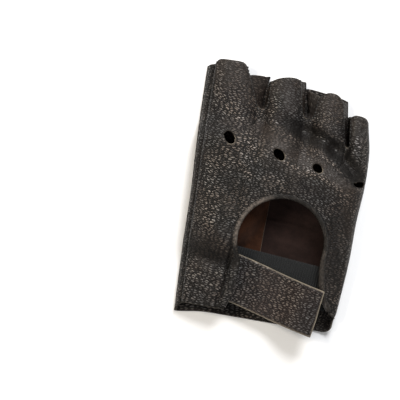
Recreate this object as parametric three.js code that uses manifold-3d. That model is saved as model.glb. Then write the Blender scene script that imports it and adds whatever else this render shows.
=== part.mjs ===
// A fingerless leather glove for the right hand, lying on its palm with the back of the hand up.
// Millimetres, +Z up, fingers along +Y, thumb side at -X. The thumb is folded flat under the palm.
// Pieces: the back with its four half fingers, its bound window and knuckle holes, the palm, a patch
// inside the palm, four strips down the thumb side, three forks between the fingers, the thumb,
// the elastic across the wrist slit and the closing tab.
import * as THREE from 'three';
import Module from 'manifold-3d';

const wasm = await Module();
wasm.setup();

// Driving dimensions
const GLOVE_WIDTH = 104; // across the knuckles
const GLOVE_LENGTH = 152; // palm hem to the tip of the index finger
const BODY_HEIGHT = 16; // floor to the crown of the back at the hem
const LEATHER = 1.2; // every leather wall
const SEAM_GAP = 0.4; // between pieces that are sewn together
const SEAM_INSET = 0.4; // a side strip stands this far in from the edges that it joins
const BACK_HEM = 3.5; // on the thumb side the back's hem stops this far short of the palm's
const HEM_DROOP = 2.4; // the palm's corner on the thumb side hangs this far past its hem
const HEM_REACH = 14; // width of that corner
const THUMB_WIDTH = 32;
const THUMB_HEIGHT = 9.4;
const THUMB_LENGTH = 53;
const THUMB_DRAPE = 13; // distance over which the palm comes down from the thumb to the floor
const PATCH_THICK = 1.0;
const BINDING_THICK = 0.8;
const BINDING_GAP = 0.5; // between the binding and the leather that it folds round
const BINDING_FLANGE = 1.6; // width of the binding on the back, round the arch of the window
const WINDOW_RADIUS = 27.2;
const TAB_LENGTH = 63;
const TAB_WIDTH = 28.5;
const TAB_THICK = 2.4; // two leathers and the hook tape between them
const TAB_TURN = THREE.MathUtils.degToRad(-13.8); // the tab slopes down towards the little finger
const TAB_TUCK = 6.5; // length of the tab that lies under the back
const TAB_OVERLAP = 8; // length of the tab that lies over the back's right edge
const TAB_SLANT = 3; // the tab's free end is cut this much shorter at its upper corner
const TAB_CLIMB = 0.55; // the tab rises to that edge between these shares of its length
const TAB_CLIMBED = 0.88;
const ELASTIC_WIDTH = 25;
const ELASTIC_THICK = 1.6;
const ELASTIC_LENGTH = 65;
const ELASTIC_SAG = 1.0;

// The body and the outer fingers, hem to index tip. at is a share of GLOVE_LENGTH. seam, palm, side and
// roll are shares of GLOVE_WIDTH: the back's seam on the thumb side, the palm's edge below it, the
// little finger's side, and how far in from there the back starts to roll under. crown and seamHeight
// are shares of BODY_HEIGHT.
const BODY = [
  { at: 0.0, seam: -0.423, palm: -0.446, side: 0.471, roll: 0.125, crown: 0.97, seamHeight: 0.62 },
  { at: 0.12, seam: -0.432, palm: -0.454, side: 0.485, roll: 0.125, crown: 1.08, seamHeight: 0.6 },
  { at: 0.3, seam: -0.445, palm: -0.464, side: 0.502, roll: 0.13, crown: 1.12, seamHeight: 0.56 },
  { at: 0.45, seam: -0.45, palm: -0.468, side: 0.503, roll: 0.125, crown: 1.14, seamHeight: 0.56 },
  { at: 0.6, seam: -0.458, palm: -0.481, side: 0.516, roll: 0.115, crown: 1.12, seamHeight: 0.56 },
  { at: 0.73, seam: -0.462, palm: -0.49, side: 0.508, roll: 0.085, crown: 1.0, seamHeight: 0.6 },
  { at: 0.84, seam: -0.465, palm: -0.495, side: 0.476, roll: 0.07, crown: 0.86, seamHeight: 0.62 },
  { at: 1.0, seam: -0.469, palm: -0.5, side: 0.44, roll: 0.055, crown: 0.76, seamHeight: 0.56 },
];
const CROWN_AT = -0.03; // the crown's place across, a share of GLOVE_WIDTH
const DOME_POWER = 2.4; // how flat the back's dome is
const SIDE_DROP = 0.12; // the back's fall from crown to roll, a share of the crown
const ROLL_MIDDLE = 0.45; // height of the outermost line of the roll, a share of the crown
const ROLL_POWER = 2.3;
const ROLL_UNDER = 0.85; // reach of the roll under the palm, a share of the roll
const KNUCKLE_LINE = 0.7; // share of the body's length where the single dome starts to part in four

// The half fingers. Places across are shares of GLOVE_WIDTH and tips are shares of GLOVE_LENGTH.
// drop is how far the corners of a tip stand below its middle, a share of GLOVE_LENGTH, corner is the
// power of that curve, and lean is how far the tip's little finger side stands below its other side.
// A null edge follows the body's own seam, palm edge or side.
const BACK_FINGERS = [
  { left: null, right: -0.178, tipLeft: null, tipRight: -0.264, tip: 0.997, drop: 0.022, corner: 6, lean: -0.005 },
  { left: -0.127, right: 0.092, tipLeft: -0.127, tipRight: 0.052, tip: 0.966, drop: 0.014, corner: 2.4, lean: -0.025 },
  { left: 0.15, right: 0.363, tipLeft: 0.158, tipRight: 0.32, tip: 0.936, drop: 0.034, corner: 2.4, lean: 0 },
  { left: 0.381, right: null, tipLeft: 0.358, tipRight: null, tip: 0.866, drop: 0.016, corner: 2, lean: 0 },
];
const PALM_FINGERS = [
  { left: null, right: -0.148, tipLeft: null, tipRight: -0.136, tip: 0.95, drop: -0.01, corner: 3, lean: 0 },
  { left: -0.139, right: 0.108, tipLeft: -0.129, tipRight: 0.076, tip: 0.957, drop: 0.006, corner: 3, lean: -0.022 },
  { left: 0.117, right: 0.374, tipLeft: 0.084, tipRight: 0.333, tip: 0.931, drop: 0.006, corner: 4, lean: 0.022 },
  { left: 0.383, right: null, tipLeft: 0.3575, tipRight: null, tip: 0.858, drop: 0.004, corner: 4, lean: 0 },
];
// Lowest point of each fork between two fingers, in the back and in the palm, shares of GLOVE_LENGTH, and
// how far up the back's edge of the finger before it and after it the fork's leather goes, as shares.
const FORKS = [
  { name: 'fork_index_middle', back: 0.827, palm: 0.845, before: 0.8, after: 1 },
  { name: 'fork_middle_ring', back: 0.819, palm: 0.843, before: 1, after: 1 },
  { name: 'fork_ring_little', back: 0.734, palm: 0.748, before: 1, after: 1 },
];

// Main dents and folds of the back. x and y are shares of GLOVE_WIDTH and GLOVE_LENGTH, spread is a
// share of GLOVE_WIDTH, and rise a share of BODY_HEIGHT, below zero for a dent.
const FOLDS = [
  { x0: 0.0, y0: 0.79, x1: 0.3, y1: 0.72, spread: 0.045, rise: -0.15 },
  { x0: 0.3, y0: 0.72, x1: 0.46, y1: 0.625, spread: 0.045, rise: -0.17 },
  { x0: -0.06, y0: 0.64, x1: 0.34, y1: 0.56, spread: 0.06, rise: 0.09 },
  { x0: -0.42, y0: 0.25, x1: -0.2, y1: 0.2, spread: 0.04, rise: -0.09 },
  { x0: 0.38, y0: 0.42, x1: 0.46, y1: 0.2, spread: 0.035, rise: -0.07 },
];

// Knuckle holes: places are shares of GLOVE_WIDTH and GLOVE_LENGTH, long and short are the full axes
// of the ellipse as shares of GLOVE_WIDTH, and turn is the long axis from +Y towards -X, in degrees.
const KNUCKLE_HOLES = [
  { x: -0.305, y: 0.695, long: 0.088, short: 0.064, turn: 30 },
  { x: -0.005, y: 0.661, long: 0.085, short: 0.058, turn: 52 },
  { x: 0.226, y: 0.634, long: 0.07, short: 0.05, turn: 58 },
];
// The fourth hole sits on the roll of the little finger's side.
const SIDE_HOLE = { y: 0.6, long: 0.085, short: 0.062, tilt: 42, out: 0.5 };

// The window: its centre, as shares of GLOVE_WIDTH and GLOVE_LENGTH, and the two legs of its outline
// down to the hem, in shares of WINDOW_RADIUS from that centre. flange is the binding's width there,
// a multiple of BINDING_FLANGE.
const WINDOW = { x: 0.089, y: 0.322, from: -10, to: 206 };
const LEFT_LEG = [
  { x: -0.855, y: -0.55, flange: 2.0 },
  { x: -0.852, y: -0.9, flange: 2.7 },
  { x: -0.89, y: -1.3, flange: 2.8 },
  { x: -0.985, y: -1.62, flange: 2.8 },
];
const RIGHT_LEG = [
  { x: 0.985, y: -0.35, flange: 1.3 },
  { x: 1.03, y: -0.72, flange: 1.6 },
  { x: 1.13, y: -1.08, flange: 1.6 },
  { x: 1.3, y: -1.32, flange: 1.5 },
];

// Along the thumb side: where each strip ends, shares of GLOVE_LENGTH, from the hem up.
const SIDE_STRIPS = [
  { name: 'side_strip_heel', from: 0.0, to: 0.378 },
  { name: 'side_strip_thumb', from: 0.378, to: 0.622 },
  { name: 'side_strip_knuckle', from: 0.622, to: 0.786 },
  { name: 'side_strip_index', from: 0.786, to: 1.0 },
];

// The thumb and its root hole, shares of GLOVE_WIDTH and GLOVE_LENGTH.
const THUMB = { x: -0.3, root: 0.32 };
const ROOT_HOLE = { along: 0.34, halfWidth: 0.36, halfLength: 0.2 }; // of the thumb's length and width

const TAB_ROOT = { x: -0.15, y: 0.152 }; // middle of the tab where it leaves the back's edge
const ELASTIC = { x: 0.102, y: 0.182, turn: THREE.MathUtils.degToRad(-4.4) };

// Mesh density, in cells
const BODY_ROWS = 24;
const FINGER_ROWS = 4;
const BACK_CELLS = [6, 5, 5, 2];
const PALM_CELLS = [6, 4, 4, 3];
const FORK_CELLS = 3;
const ROLL_CELLS = 4; // from the roll's start to its side, and again from there to the palm
const STRIP_CELLS = 3;
const THUMB_ROWS = 9;
const THUMB_AROUND = 20;

const MATERIALS = {
  backLeather: new THREE.MeshStandardMaterial({ color: 0x3d332f, roughness: 0.5, metalness: 0 }),
  palmLeather: new THREE.MeshStandardMaterial({ color: 0x33291f, roughness: 0.6, metalness: 0 }),
  stripLeather: new THREE.MeshStandardMaterial({ color: 0x302b2a, roughness: 0.5, metalness: 0 }),
  tabLeather: new THREE.MeshStandardMaterial({ color: 0x382c2a, roughness: 0.6, metalness: 0 }),
  patchSuede: new THREE.MeshStandardMaterial({ color: 0x4a2c1c, roughness: 0.95, metalness: 0 }),
  binding: new THREE.MeshStandardMaterial({ color: 0x4b463c, roughness: 0.55, metalness: 0 }),
  elastic: new THREE.MeshStandardMaterial({ color: 0x1c2022, roughness: 0.95, metalness: 0 }),
};

// Small maths
const clamp = (v, low, high) => Math.min(high, Math.max(low, v));
const mix = (a, b, t) => a + (b - a) * t;
const ease = (from, to, v) => {
  const t = clamp((v - from) / (to - from), 0, 1);
  return t * t * (3 - 2 * t);
};
const powerOf = (v, p) => Math.abs(v) ** p;

// A column of a table as a smooth function of the share in its at column.
function track(rows, column) {
  const at = rows.map((row) => row.at);
  const value = rows.map((row) => row[column]);
  const last = rows.length - 1;
  const slope = value.map((_, k) => {
    const a = Math.max(0, k - 1);
    const b = Math.min(last, k + 1);
    return (value[b] - value[a]) / (at[b] - at[a]);
  });
  return (share) => {
    const s = clamp(share, at[0], at[last]);
    const k = Math.max(0, at.findIndex((a) => s <= a) - 1);
    const h = at[k + 1] - at[k];
    const t = (s - at[k]) / h;
    const rise = value[k + 1] - value[k];
    const a = slope[k] * h - rise;
    const b = rise - slope[k + 1] * h;
    return mix(value[k], value[k + 1], t) + t * (1 - t) * (a * (1 - t) + b * t);
  };
}

const bodyTrack = (column, size) => {
  const follow = track(BODY, column);
  return (y) => size * follow(y / GLOVE_LENGTH);
};
const seamX = bodyTrack('seam', GLOVE_WIDTH);
const palmX = bodyTrack('palm', GLOVE_WIDTH);
const sideX = bodyTrack('side', GLOVE_WIDTH);
const rollWidth = bodyTrack('roll', GLOVE_WIDTH);
const crownHeight = bodyTrack('crown', BODY_HEIGHT);
const seamHeight = bodyTrack('seamHeight', BODY_HEIGHT);
const rollStartX = (y) => sideX(y) - rollWidth(y);
const rollEndX = (y) => sideX(y) - ROLL_UNDER * rollWidth(y);

// The thumb lifts the palm over it, and the back more gently.
const thumbX = THUMB.x * GLOVE_WIDTH;
const thumbRootY = THUMB.root * GLOVE_LENGTH;
const thumbTipY = thumbRootY + THUMB_LENGTH;
const thumbLift = THUMB_HEIGHT + SEAM_GAP;
const thumbClear = 1; // the palm stays at full height this far past the thumb's outline

function palmHeight(x, y) {
  const half = THUMB_WIDTH / 2;
  const side = Math.max(0, x - thumbX);
  const middle = (thumbRootY + thumbTipY) / 2;
  const corner = y < middle ? half : 0.3 * half; // the root is round, the cut tip nearly square
  const over = Math.max(0, side - half + corner);
  const past = Math.max(0, Math.abs(y - middle) - THUMB_LENGTH / 2 + corner);
  const away = Math.hypot(over, past) - corner - thumbClear;
  return thumbLift * (1 - ease(0, THUMB_DRAPE, away));
}

function backLift(x, y) {
  const tip = thumbTipY + thumbClear;
  const along = ease(thumbRootY - 1.6 * THUMB_DRAPE, thumbRootY, y) * (1 - ease(tip, tip + 1.4 * THUMB_DRAPE, y));
  return thumbLift * along * (1 - 0.75 * ease(-0.3 * GLOVE_WIDTH, 0.36 * GLOVE_WIDTH, x));
}

function foldHeight(x, y) {
  let height = 0;
  for (const fold of FOLDS) {
    const start = new THREE.Vector2(fold.x0 * GLOVE_WIDTH, fold.y0 * GLOVE_LENGTH);
    const line = new THREE.Vector2(fold.x1 * GLOVE_WIDTH, fold.y1 * GLOVE_LENGTH).sub(start);
    const from = new THREE.Vector2(x, y).sub(start);
    const along = clamp(from.dot(line) / line.lengthSq(), 0, 1);
    const away = from.sub(line.multiplyScalar(along)).length() / (fold.spread * GLOVE_WIDTH);
    height += fold.rise * BODY_HEIGHT * Math.exp(-away * away);
  }
  return height;
}

// Height of the back's outer face as one dome, out to the start of the roll and past it.
function domeHeight(x, y) {
  const crown = crownHeight(y);
  const middle = CROWN_AT * GLOVE_WIDTH;
  if (x < middle) {
    const out = (middle - x) / (middle - seamX(y));
    return crown - (crown - seamHeight(y)) * powerOf(out, DOME_POWER);
  }
  const out = (x - middle) / (rollStartX(y) - middle);
  return crown * (1 - SIDE_DROP * powerOf(out, DOME_POWER));
}

// Turns the height of the dome down to the outermost line. out goes from 0 at the roll's start to 1.
function rolledHeight(height, y, out) {
  const middle = ROLL_MIDDLE * crownHeight(y);
  return middle + (height - middle) * (1 - powerOf(clamp(out, 0, 1), ROLL_POWER)) ** (1 / ROLL_POWER);
}

// Height of the back's outer face anywhere below the knuckles.
function backHeight(x, y) {
  const out = (x - rollStartX(y)) / rollWidth(y);
  const top = domeHeight(x, y) + backLift(x, y) + foldHeight(x, y);
  return out > 0 ? rolledHeight(top, y, out) : top;
}

// Height of a face that lies a wall's thickness under the back's outer face.
function backUnderside(x, y) {
  const step = 1;
  const slopeX = (backHeight(x + step, y) - backHeight(x - step, y)) / (2 * step);
  const slopeY = (backHeight(x, y + step) - backHeight(x, y - step)) / (2 * step);
  return backHeight(x, y) - LEATHER * Math.hypot(1, slopeX, slopeY);
}

// A sheet is a list of points and of four-sided cells between them. Its other face is given point by
// point, or lies a thickness away against the cells' normals.
class Sheet {
  constructor() {
    this.points = [];
    this.cells = [];
  }

  add(x, y, z) {
    return this.points.push(new THREE.Vector3(x, y, z)) - 1;
  }

  normals() {
    const normals = this.points.map(() => new THREE.Vector3());
    for (const [a, b, c, d] of this.cells) {
      const one = this.points[c].clone().sub(this.points[a]);
      const other = this.points[d].clone().sub(this.points[b]);
      const face = one.cross(other);
      for (const corner of [a, b, c, d]) normals[corner].add(face);
    }
    return normals.map((n) => n.normalize());
  }

  // The sheet as a closed solid between its own face and the far one.
  solid(far) {
    const count = this.points.length;
    const positions = [];
    for (const point of [...this.points, ...far]) positions.push(point.x, point.y, point.z);
    const triangles = [];
    const edges = new Map();
    for (const [a, b, c, d] of this.cells) {
      triangles.push(a, b, c, a, c, d);
      triangles.push(a + count, c + count, b + count, a + count, d + count, c + count);
      for (const [p, q] of [[a, b], [b, c], [c, d], [d, a]]) {
        if (!edges.delete(`${q},${p}`)) edges.set(`${p},${q}`, [p, q]);
      }
    }
    for (const [p, q] of edges.values()) triangles.push(q, p, p + count, q, p + count, q + count);
    return manifoldOf(positions, triangles);
  }

  // The solid that reaches a thickness in from the sheet, against its normals.
  thickened(thickness) {
    const normals = this.normals();
    return this.solid(this.points.map((p, k) => p.clone().addScaledVector(normals[k], -thickness)));
  }
}

// A closed mesh as a manifold solid, whichever way round its triangles were listed.
function manifoldOf(positions, triangles) {
  const used = [...new Set(triangles)].sort((a, b) => a - b);
  const renumber = new Map(used.map((old, now) => [old, now]));
  const vertProperties = new Float32Array(used.flatMap((k) => positions.slice(3 * k, 3 * k + 3)));
  const triVerts = new Uint32Array(triangles.map((k) => renumber.get(k)));
  const made = new wasm.Manifold(new wasm.Mesh({ numProp: 3, vertProperties, triVerts }));
  if (made.volume() > 0) return made;
  for (let k = 0; k < triVerts.length; k += 3) {
    [triVerts[k + 1], triVerts[k + 2]] = [triVerts[k + 2], triVerts[k + 1]];
  }
  return new wasm.Manifold(new wasm.Mesh({ numProp: 3, vertProperties, triVerts }));
}

// A three.js geometry as a manifold solid, after a matrix.
function manifoldOfGeometry(geometry, matrix) {
  const points = new Map();
  const positions = [];
  const source = geometry.applyMatrix4(matrix).getAttribute('position');
  const index = geometry.index ? geometry.index.array : [...Array(source.count).keys()];
  const triangles = Array.from(index, (k) => {
    const point = [source.getX(k), source.getY(k), source.getZ(k)];
    const key = point.map((v) => Math.round(v * 1e4)).join();
    if (!points.has(key)) {
      points.set(key, positions.length / 3);
      positions.push(...point);
    }
    return points.get(key);
  });
  const whole = [];
  for (let k = 0; k < triangles.length; k += 3) {
    const [a, b, c] = triangles.slice(k, k + 3);
    if (a !== b && b !== c && c !== a) whole.push(a, b, c);
  }
  return manifoldOf(positions, whole);
}

function geometryOf(solid) {
  const made = solid.getMesh();
  const geometry = new THREE.BufferGeometry();
  geometry.setAttribute('position', new THREE.BufferAttribute(made.vertProperties, 3));
  geometry.setIndex(new THREE.BufferAttribute(made.triVerts, 1));
  geometry.computeVertexNormals();
  return geometry;
}

// The columns of the back or the palm from the thumb side across. Each knows its place at the foot of
// the fingers and at their tips. side tells the back, which ends at the roll, from the palm.
function fingerColumns(fingers, cells, side) {
  const edgeAt = (y, right) => (right ? side.rightX(y) : side.leftX(y));
  const forkY = FORKS.map((fork) => fork[side.key] * GLOVE_LENGTH);
  const forkHalf = FORKS.map((_, k) => ((fingers[k + 1].left - fingers[k].right) * GLOVE_WIDTH) / 2);
  const columns = [];
  fingers.forEach((finger, f) => {
    const rightY = f < FORKS.length ? forkY[f] + forkHalf[f] : forkY[f - 1] + forkHalf[f - 1];
    const leftY = f > 0 ? forkY[f - 1] + forkHalf[f - 1] : rightY;
    const left = finger.left === null ? edgeAt(leftY, false) : finger.left * GLOVE_WIDTH;
    const right = finger.right === null ? edgeAt(rightY, true) : finger.right * GLOVE_WIDTH;
    for (let k = 0; k <= cells[f]; k++) {
      const share = k / cells[f];
      const rolls = side.key === 'back' && f === FORKS.length;
      const across = rolls ? share - 1 : 2 * share - 1;
      const fall = finger.drop * powerOf(across, finger.corner) + finger.lean * (share - 0.5);
      const tipY = (finger.tip - fall) * GLOVE_LENGTH;
      const tipLeft = finger.tipLeft === null ? edgeAt(tipY, false) : finger.tipLeft * GLOVE_WIDTH;
      const tipRight = finger.tipRight === null ? edgeAt(tipY, true) : finger.tipRight * GLOVE_WIDTH;
      columns.push({
        finger: f,
        share,
        footX: mix(left, right, share),
        footY: mix(leftY, rightY, share),
        tipX: mix(tipLeft, tipRight, share),
        tipY,
      });
    }
    if (f === FORKS.length) return;
    for (let k = 1; k < FORK_CELLS; k++) {
      const share = k / FORK_CELLS;
      const across = 2 * share - 1;
      columns.push({
        finger: null,
        footX: mix(right, fingers[f + 1].left * GLOVE_WIDTH, share),
        footY: forkY[f] + forkHalf[f] * (1 - Math.sqrt(1 - across * across)),
      });
    }
  });
  return columns;
}

// Place of a column at one row. Rows 0 to BODY_ROWS cover the body, and the rest the fingers.
function columnPlace(column, row, side) {
  if (row <= BODY_ROWS) {
    const share = row / BODY_ROWS;
    const footLeft = side.leftX(column.footY);
    const across = (column.footX - footLeft) / (side.rightX(column.footY) - footLeft);
    const y = mix(side.hemY(across), column.footY, share);
    return { x: mix(side.leftX(y), side.rightX(y), across), y };
  }
  const share = (row - BODY_ROWS) / FINGER_ROWS;
  return { x: mix(column.footX, column.tipX, share), y: mix(column.footY, column.tipY, share) };
}

// A grid of points over the columns, with the cells between them. A fork's columns stop at its foot.
function layGrid(sheet, columns, heightOf, side) {
  const grid = [];
  for (let row = 0; row <= BODY_ROWS + FINGER_ROWS; row++) {
    grid.push(columns.map((column) => {
      if (row > BODY_ROWS && column.finger === null) return null;
      const { x, y } = columnPlace(column, row, side);
      return sheet.add(x, y, heightOf(x, y, column, row));
    }));
  }
  for (let row = 0; row < BODY_ROWS + FINGER_ROWS; row++) {
    for (let k = 0; k + 1 < columns.length; k++) {
      const fork = columns[k].finger !== columns[k + 1].finger || columns[k].finger === null;
      if (row >= BODY_ROWS && fork) continue;
      sheet.cells.push([grid[row][k], grid[row][k + 1], grid[row + 1][k + 1], grid[row + 1][k]]);
    }
  }
  return grid;
}

const BACK_SIDE = {
  key: 'back',
  leftX: seamX,
  rightX: rollStartX,
  hemY: (across) => BACK_HEM * (1 - ease(0.6, 1, across)),
};
const PALM_SIDE = {
  key: 'palm',
  leftX: palmX,
  rightX: (y) => rollEndX(y) - SEAM_GAP,
  hemY: (across) => -HEM_DROOP * Math.exp(-(((across * GLOVE_WIDTH) / HEM_REACH) ** 2)),
};

// How far a row has turned from the one dome of the body, 0, to the four fingers, 1.
const fingerBlend = (row) => ease(KNUCKLE_LINE, 1, row / BODY_ROWS);

// Height of one finger's own arch. The little finger is arched on one side only, as the other rolls.
function archHeight(y, column) {
  const edge = seamHeight(y);
  if (column.finger === null) return edge;
  const last = column.finger === FORKS.length;
  const crown = crownHeight(y) * (last ? 1 - SIDE_DROP : 1);
  const out = last ? 1 - column.share : 2 * column.share - 1;
  return crown - (crown - edge) * powerOf(out, DOME_POWER);
}

function makeBack() {
  const sheet = new Sheet();
  const columns = fingerColumns(BACK_FINGERS, BACK_CELLS, BACK_SIDE);
  const heightOf = (x, y, column, row) => {
    const shaped = mix(domeHeight(x, y), archHeight(y, column), fingerBlend(row));
    return shaped + backLift(x, y) + foldHeight(x, y);
  };
  const grid = layGrid(sheet, columns, heightOf, BACK_SIDE);
  // The roll round the little finger's side and under to the palm.
  const lastColumn = columns[columns.length - 1];
  grid.forEach((line, row) => {
    const crestY = columnPlace(lastColumn, row, BACK_SIDE).y;
    const lastFinger = BACK_FINGERS[FORKS.length];
    const fall = clamp(row / BODY_ROWS - 1, 0, 1) * (BODY_ROWS / FINGER_ROWS) * lastFinger.drop * GLOVE_LENGTH;
    for (let k = 1; k <= 2 * ROLL_CELLS; k++) {
      const angle = (k / ROLL_CELLS) * (Math.PI / 2);
      const y = crestY - fall * Math.min(1, k / ROLL_CELLS) ** 2;
      const width = rollWidth(y);
      if (k <= ROLL_CELLS) {
        const out = Math.sin(angle) ** (2 / ROLL_POWER);
        const x = rollStartX(y) + width * out;
        const height = heightOf(x, y, lastColumn, row);
        line.push(sheet.add(x, y, rolledHeight(height, y, out)));
      } else {
        const in_ = Math.abs(Math.cos(angle)) ** (2 / ROLL_POWER);
        const x = mix(rollEndX(y), sideX(y), Math.abs(Math.sin(angle)) ** (2 / ROLL_POWER));
        line.push(sheet.add(x, y, ROLL_MIDDLE * crownHeight(y) * (1 - in_)));
      }
    }
    if (row === 0) return;
    for (let k = columns.length; k < line.length; k++) {
      sheet.cells.push([grid[row - 1][k - 1], grid[row - 1][k], line[k], line[k - 1]]);
    }
  });
  return { sheet, grid, columns };
}

function makePalm() {
  const sheet = new Sheet();
  const columns = fingerColumns(PALM_FINGERS, PALM_CELLS, PALM_SIDE);
  const grid = layGrid(sheet, columns, (x, y) => palmHeight(x, y), PALM_SIDE);
  for (const cell of sheet.cells) cell.reverse(); // its outer face looks down
  return { sheet, grid, columns };
}

// A flat outline pulled straight up from one height to another, as a manifold solid.
function prism(outline, low, high) {
  const shape = new THREE.Shape(outline.map((p) => new THREE.Vector2(p.x, p.y)));
  const geometry = new THREE.ExtrudeGeometry(shape, { depth: high - low, bevelEnabled: false });
  return manifoldOfGeometry(geometry, new THREE.Matrix4().makeTranslation(0, 0, low));
}

function ellipse(x, y, halfShort, halfLong, turn, sides) {
  const curve = new THREE.EllipseCurve(x, y, halfShort, halfLong, 0, 2 * Math.PI, false, turn);
  return curve.getPoints(sides).slice(0, -1);
}

const windowX = WINDOW.x * GLOVE_WIDTH;
const windowY = WINDOW.y * GLOVE_LENGTH;

// The window's outline from the left hem round the arch to the right side, with the binding's width.
function windowLine(arcSteps, legSteps) {
  const legPoint = (row) => new THREE.Vector3(
    windowX + row.x * WINDOW_RADIUS, windowY + row.y * WINDOW_RADIUS, row.flange * BINDING_FLANGE,
  );
  const arcPoint = (degrees) => {
    const angle = THREE.MathUtils.degToRad(degrees);
    const x = windowX + WINDOW_RADIUS * Math.cos(angle);
    return new THREE.Vector3(x, windowY + WINDOW_RADIUS * Math.sin(angle), BINDING_FLANGE);
  };
  const leg = (rows, degrees) => {
    const curve = new THREE.CatmullRomCurve3([arcPoint(degrees), ...rows.map(legPoint)]);
    return curve.getPoints(legSteps).slice(1);
  };
  const line = leg(LEFT_LEG, WINDOW.to).reverse();
  for (let k = 0; k <= arcSteps; k++) line.push(arcPoint(mix(WINDOW.to, WINDOW.from, k / arcSteps)));
  line.push(...leg(RIGHT_LEG, WINDOW.from));
  return line;
}

// The window and the slit below it, cut from the top of the back only.
function windowCutter() {
  const line = windowLine(28, 8);
  const first = line[0];
  const last = line[line.length - 1];
  const outside = new THREE.Vector2(GLOVE_WIDTH, last.y - 0.3 * WINDOW_RADIUS);
  const corners = [...line, outside, new THREE.Vector2(GLOVE_WIDTH, -GLOVE_WIDTH)];
  corners.push(new THREE.Vector2(first.x - 0.05 * WINDOW_RADIUS, -GLOVE_WIDTH));
  return prism(corners, ROLL_MIDDLE * BODY_HEIGHT, 4 * BODY_HEIGHT);
}

function knuckleCutters() {
  const sides = 14;
  const cutters = KNUCKLE_HOLES.map((hole) => {
    const turn = THREE.MathUtils.degToRad(hole.turn);
    const half = GLOVE_WIDTH / 2;
    const x = hole.x * GLOVE_WIDTH;
    const y = hole.y * GLOVE_LENGTH;
    return prism(ellipse(x, y, hole.short * half, hole.long * half, turn, sides), BODY_HEIGHT / 2, 4 * BODY_HEIGHT);
  });
  const y = SIDE_HOLE.y * GLOVE_LENGTH;
  const x = rollStartX(y) + SIDE_HOLE.out * rollWidth(y);
  const place = new THREE.Vector3(x, y, ROLL_MIDDLE * crownHeight(y));
  const outline = ellipse(0, 0, (SIDE_HOLE.short * GLOVE_WIDTH) / 2, (SIDE_HOLE.long * GLOVE_WIDTH) / 2, 0, sides);
  const shape = new THREE.Shape(outline);
  const geometry = new THREE.ExtrudeGeometry(shape, { depth: 2 * BODY_HEIGHT, bevelEnabled: false });
  const tilt = new THREE.Matrix4().makeRotationY(THREE.MathUtils.degToRad(SIDE_HOLE.tilt));
  cutters.push(manifoldOfGeometry(geometry, tilt.setPosition(place)));
  return cutters;
}

// A strip that stands between an edge of the back and the edge of the palm below it. Each station has
// the two edge points, from which it keeps its distance, and the direction inwards.
function standingStrip(stations, bulge) {
  const outer = new Sheet();
  const far = [];
  const grid = stations.map(({ top, bottom, inwards }) => {
    const fall = top.z - bottom.z;
    const run = top.clone().sub(bottom).dot(inwards);
    const thick = LEATHER * clamp(Math.hypot(run, fall) / fall, 1, 1.7);
    const line = [];
    for (let k = 0; k <= STRIP_CELLS; k++) {
      const share = k / STRIP_CELLS;
      const out = SEAM_INSET - bulge * Math.sin(Math.PI * share);
      const point = top.clone().lerp(bottom, share).addScaledVector(inwards, out);
      line.push(outer.add(point.x, point.y, point.z));
      far.push(point.clone().addScaledVector(inwards, thick));
    }
    return line;
  });
  for (let k = 0; k + 1 < grid.length; k++) {
    for (let n = 0; n < STRIP_CELLS; n++) {
      outer.cells.push([grid[k][n], grid[k][n + 1], grid[k + 1][n + 1], grid[k + 1][n]]);
    }
  }
  return outer.solid(far);
}

// Stations along matching edge points of the back's underside and the palm's upper face.
function stationsAlong(backPoints, palmPoints, inwardSign) {
  const stations = backPoints.map((top, k) => ({
    top: top.clone().setZ(top.z - SEAM_GAP),
    bottom: palmPoints[k].clone().setZ(palmPoints[k].z + SEAM_GAP),
  }));
  stations.forEach((station, k) => {
    const before = stations[Math.max(0, k - 1)];
    const after = stations[Math.min(stations.length - 1, k + 1)];
    const tangent = after.top.clone().sub(before.top).setZ(0).normalize();
    station.inwards = new THREE.Vector3(tangent.y, -tangent.x, 0).multiplyScalar(inwardSign);
  });
  return stations;
}

// A finger's edge from its foot to its tip, as FINGER_ROWS + 1 points spread over a share of it.
function fingerEdge(part, column, share) {
  const edge = part.grid.slice(BODY_ROWS).map((line) => part.under[line[column]]);
  return edge.map((_, k) => {
    const at = Math.min(k * share, edge.length - 1 - 1e-9);
    const below = Math.floor(at);
    return edge[below].clone().lerp(edge[below + 1], at - below);
  });
}

function makeForks(back, palm) {
  const edgePoints = (part, f, before, after) => {
    const right = part.columns.findLastIndex((column) => column.finger === f);
    const left = part.columns.findIndex((column) => column.finger === f + 1);
    const foot = [];
    for (let k = right + 1; k < left; k++) foot.push(part.under[part.grid[BODY_ROWS][k]].clone());
    return [...fingerEdge(part, right, before).reverse(), ...foot, ...fingerEdge(part, left, after)];
  };
  return FORKS.map((fork, f) => standingStrip(
    stationsAlong(edgePoints(back, f, fork.before, fork.after), edgePoints(palm, f, 1, 1), 1), 0,
  ));
}

function makeSideStrips(back, palm) {
  const edge = (part) => part.grid.map((line) => part.under[line[0]]);
  const all = stationsAlong(edge(back), edge(palm), 1);
  const bulge = LEATHER;
  const stationAt = (y) => {
    const above = all.findIndex((station) => station.top.y > y);
    const k = above < 0 ? all.length - 1 : Math.max(1, above);
    const [a, b] = [all[k - 1], all[k]];
    const t = clamp((y - a.top.y) / (b.top.y - a.top.y), 0, 1);
    const [top, bottom, inwards] = ['top', 'bottom', 'inwards'].map((key) => a[key].clone().lerp(b[key], t));
    return { top, bottom, inwards };
  };
  return SIDE_STRIPS.map((strip) => {
    const from = strip.from * GLOVE_LENGTH + SEAM_GAP / 2;
    const to = strip.to * GLOVE_LENGTH - SEAM_GAP / 2;
    const between = all.filter((station) => station.top.y > from + 1 && station.top.y < to - 1);
    return standingStrip([stationAt(from), ...between, stationAt(to)], bulge);
  });
}

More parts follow.
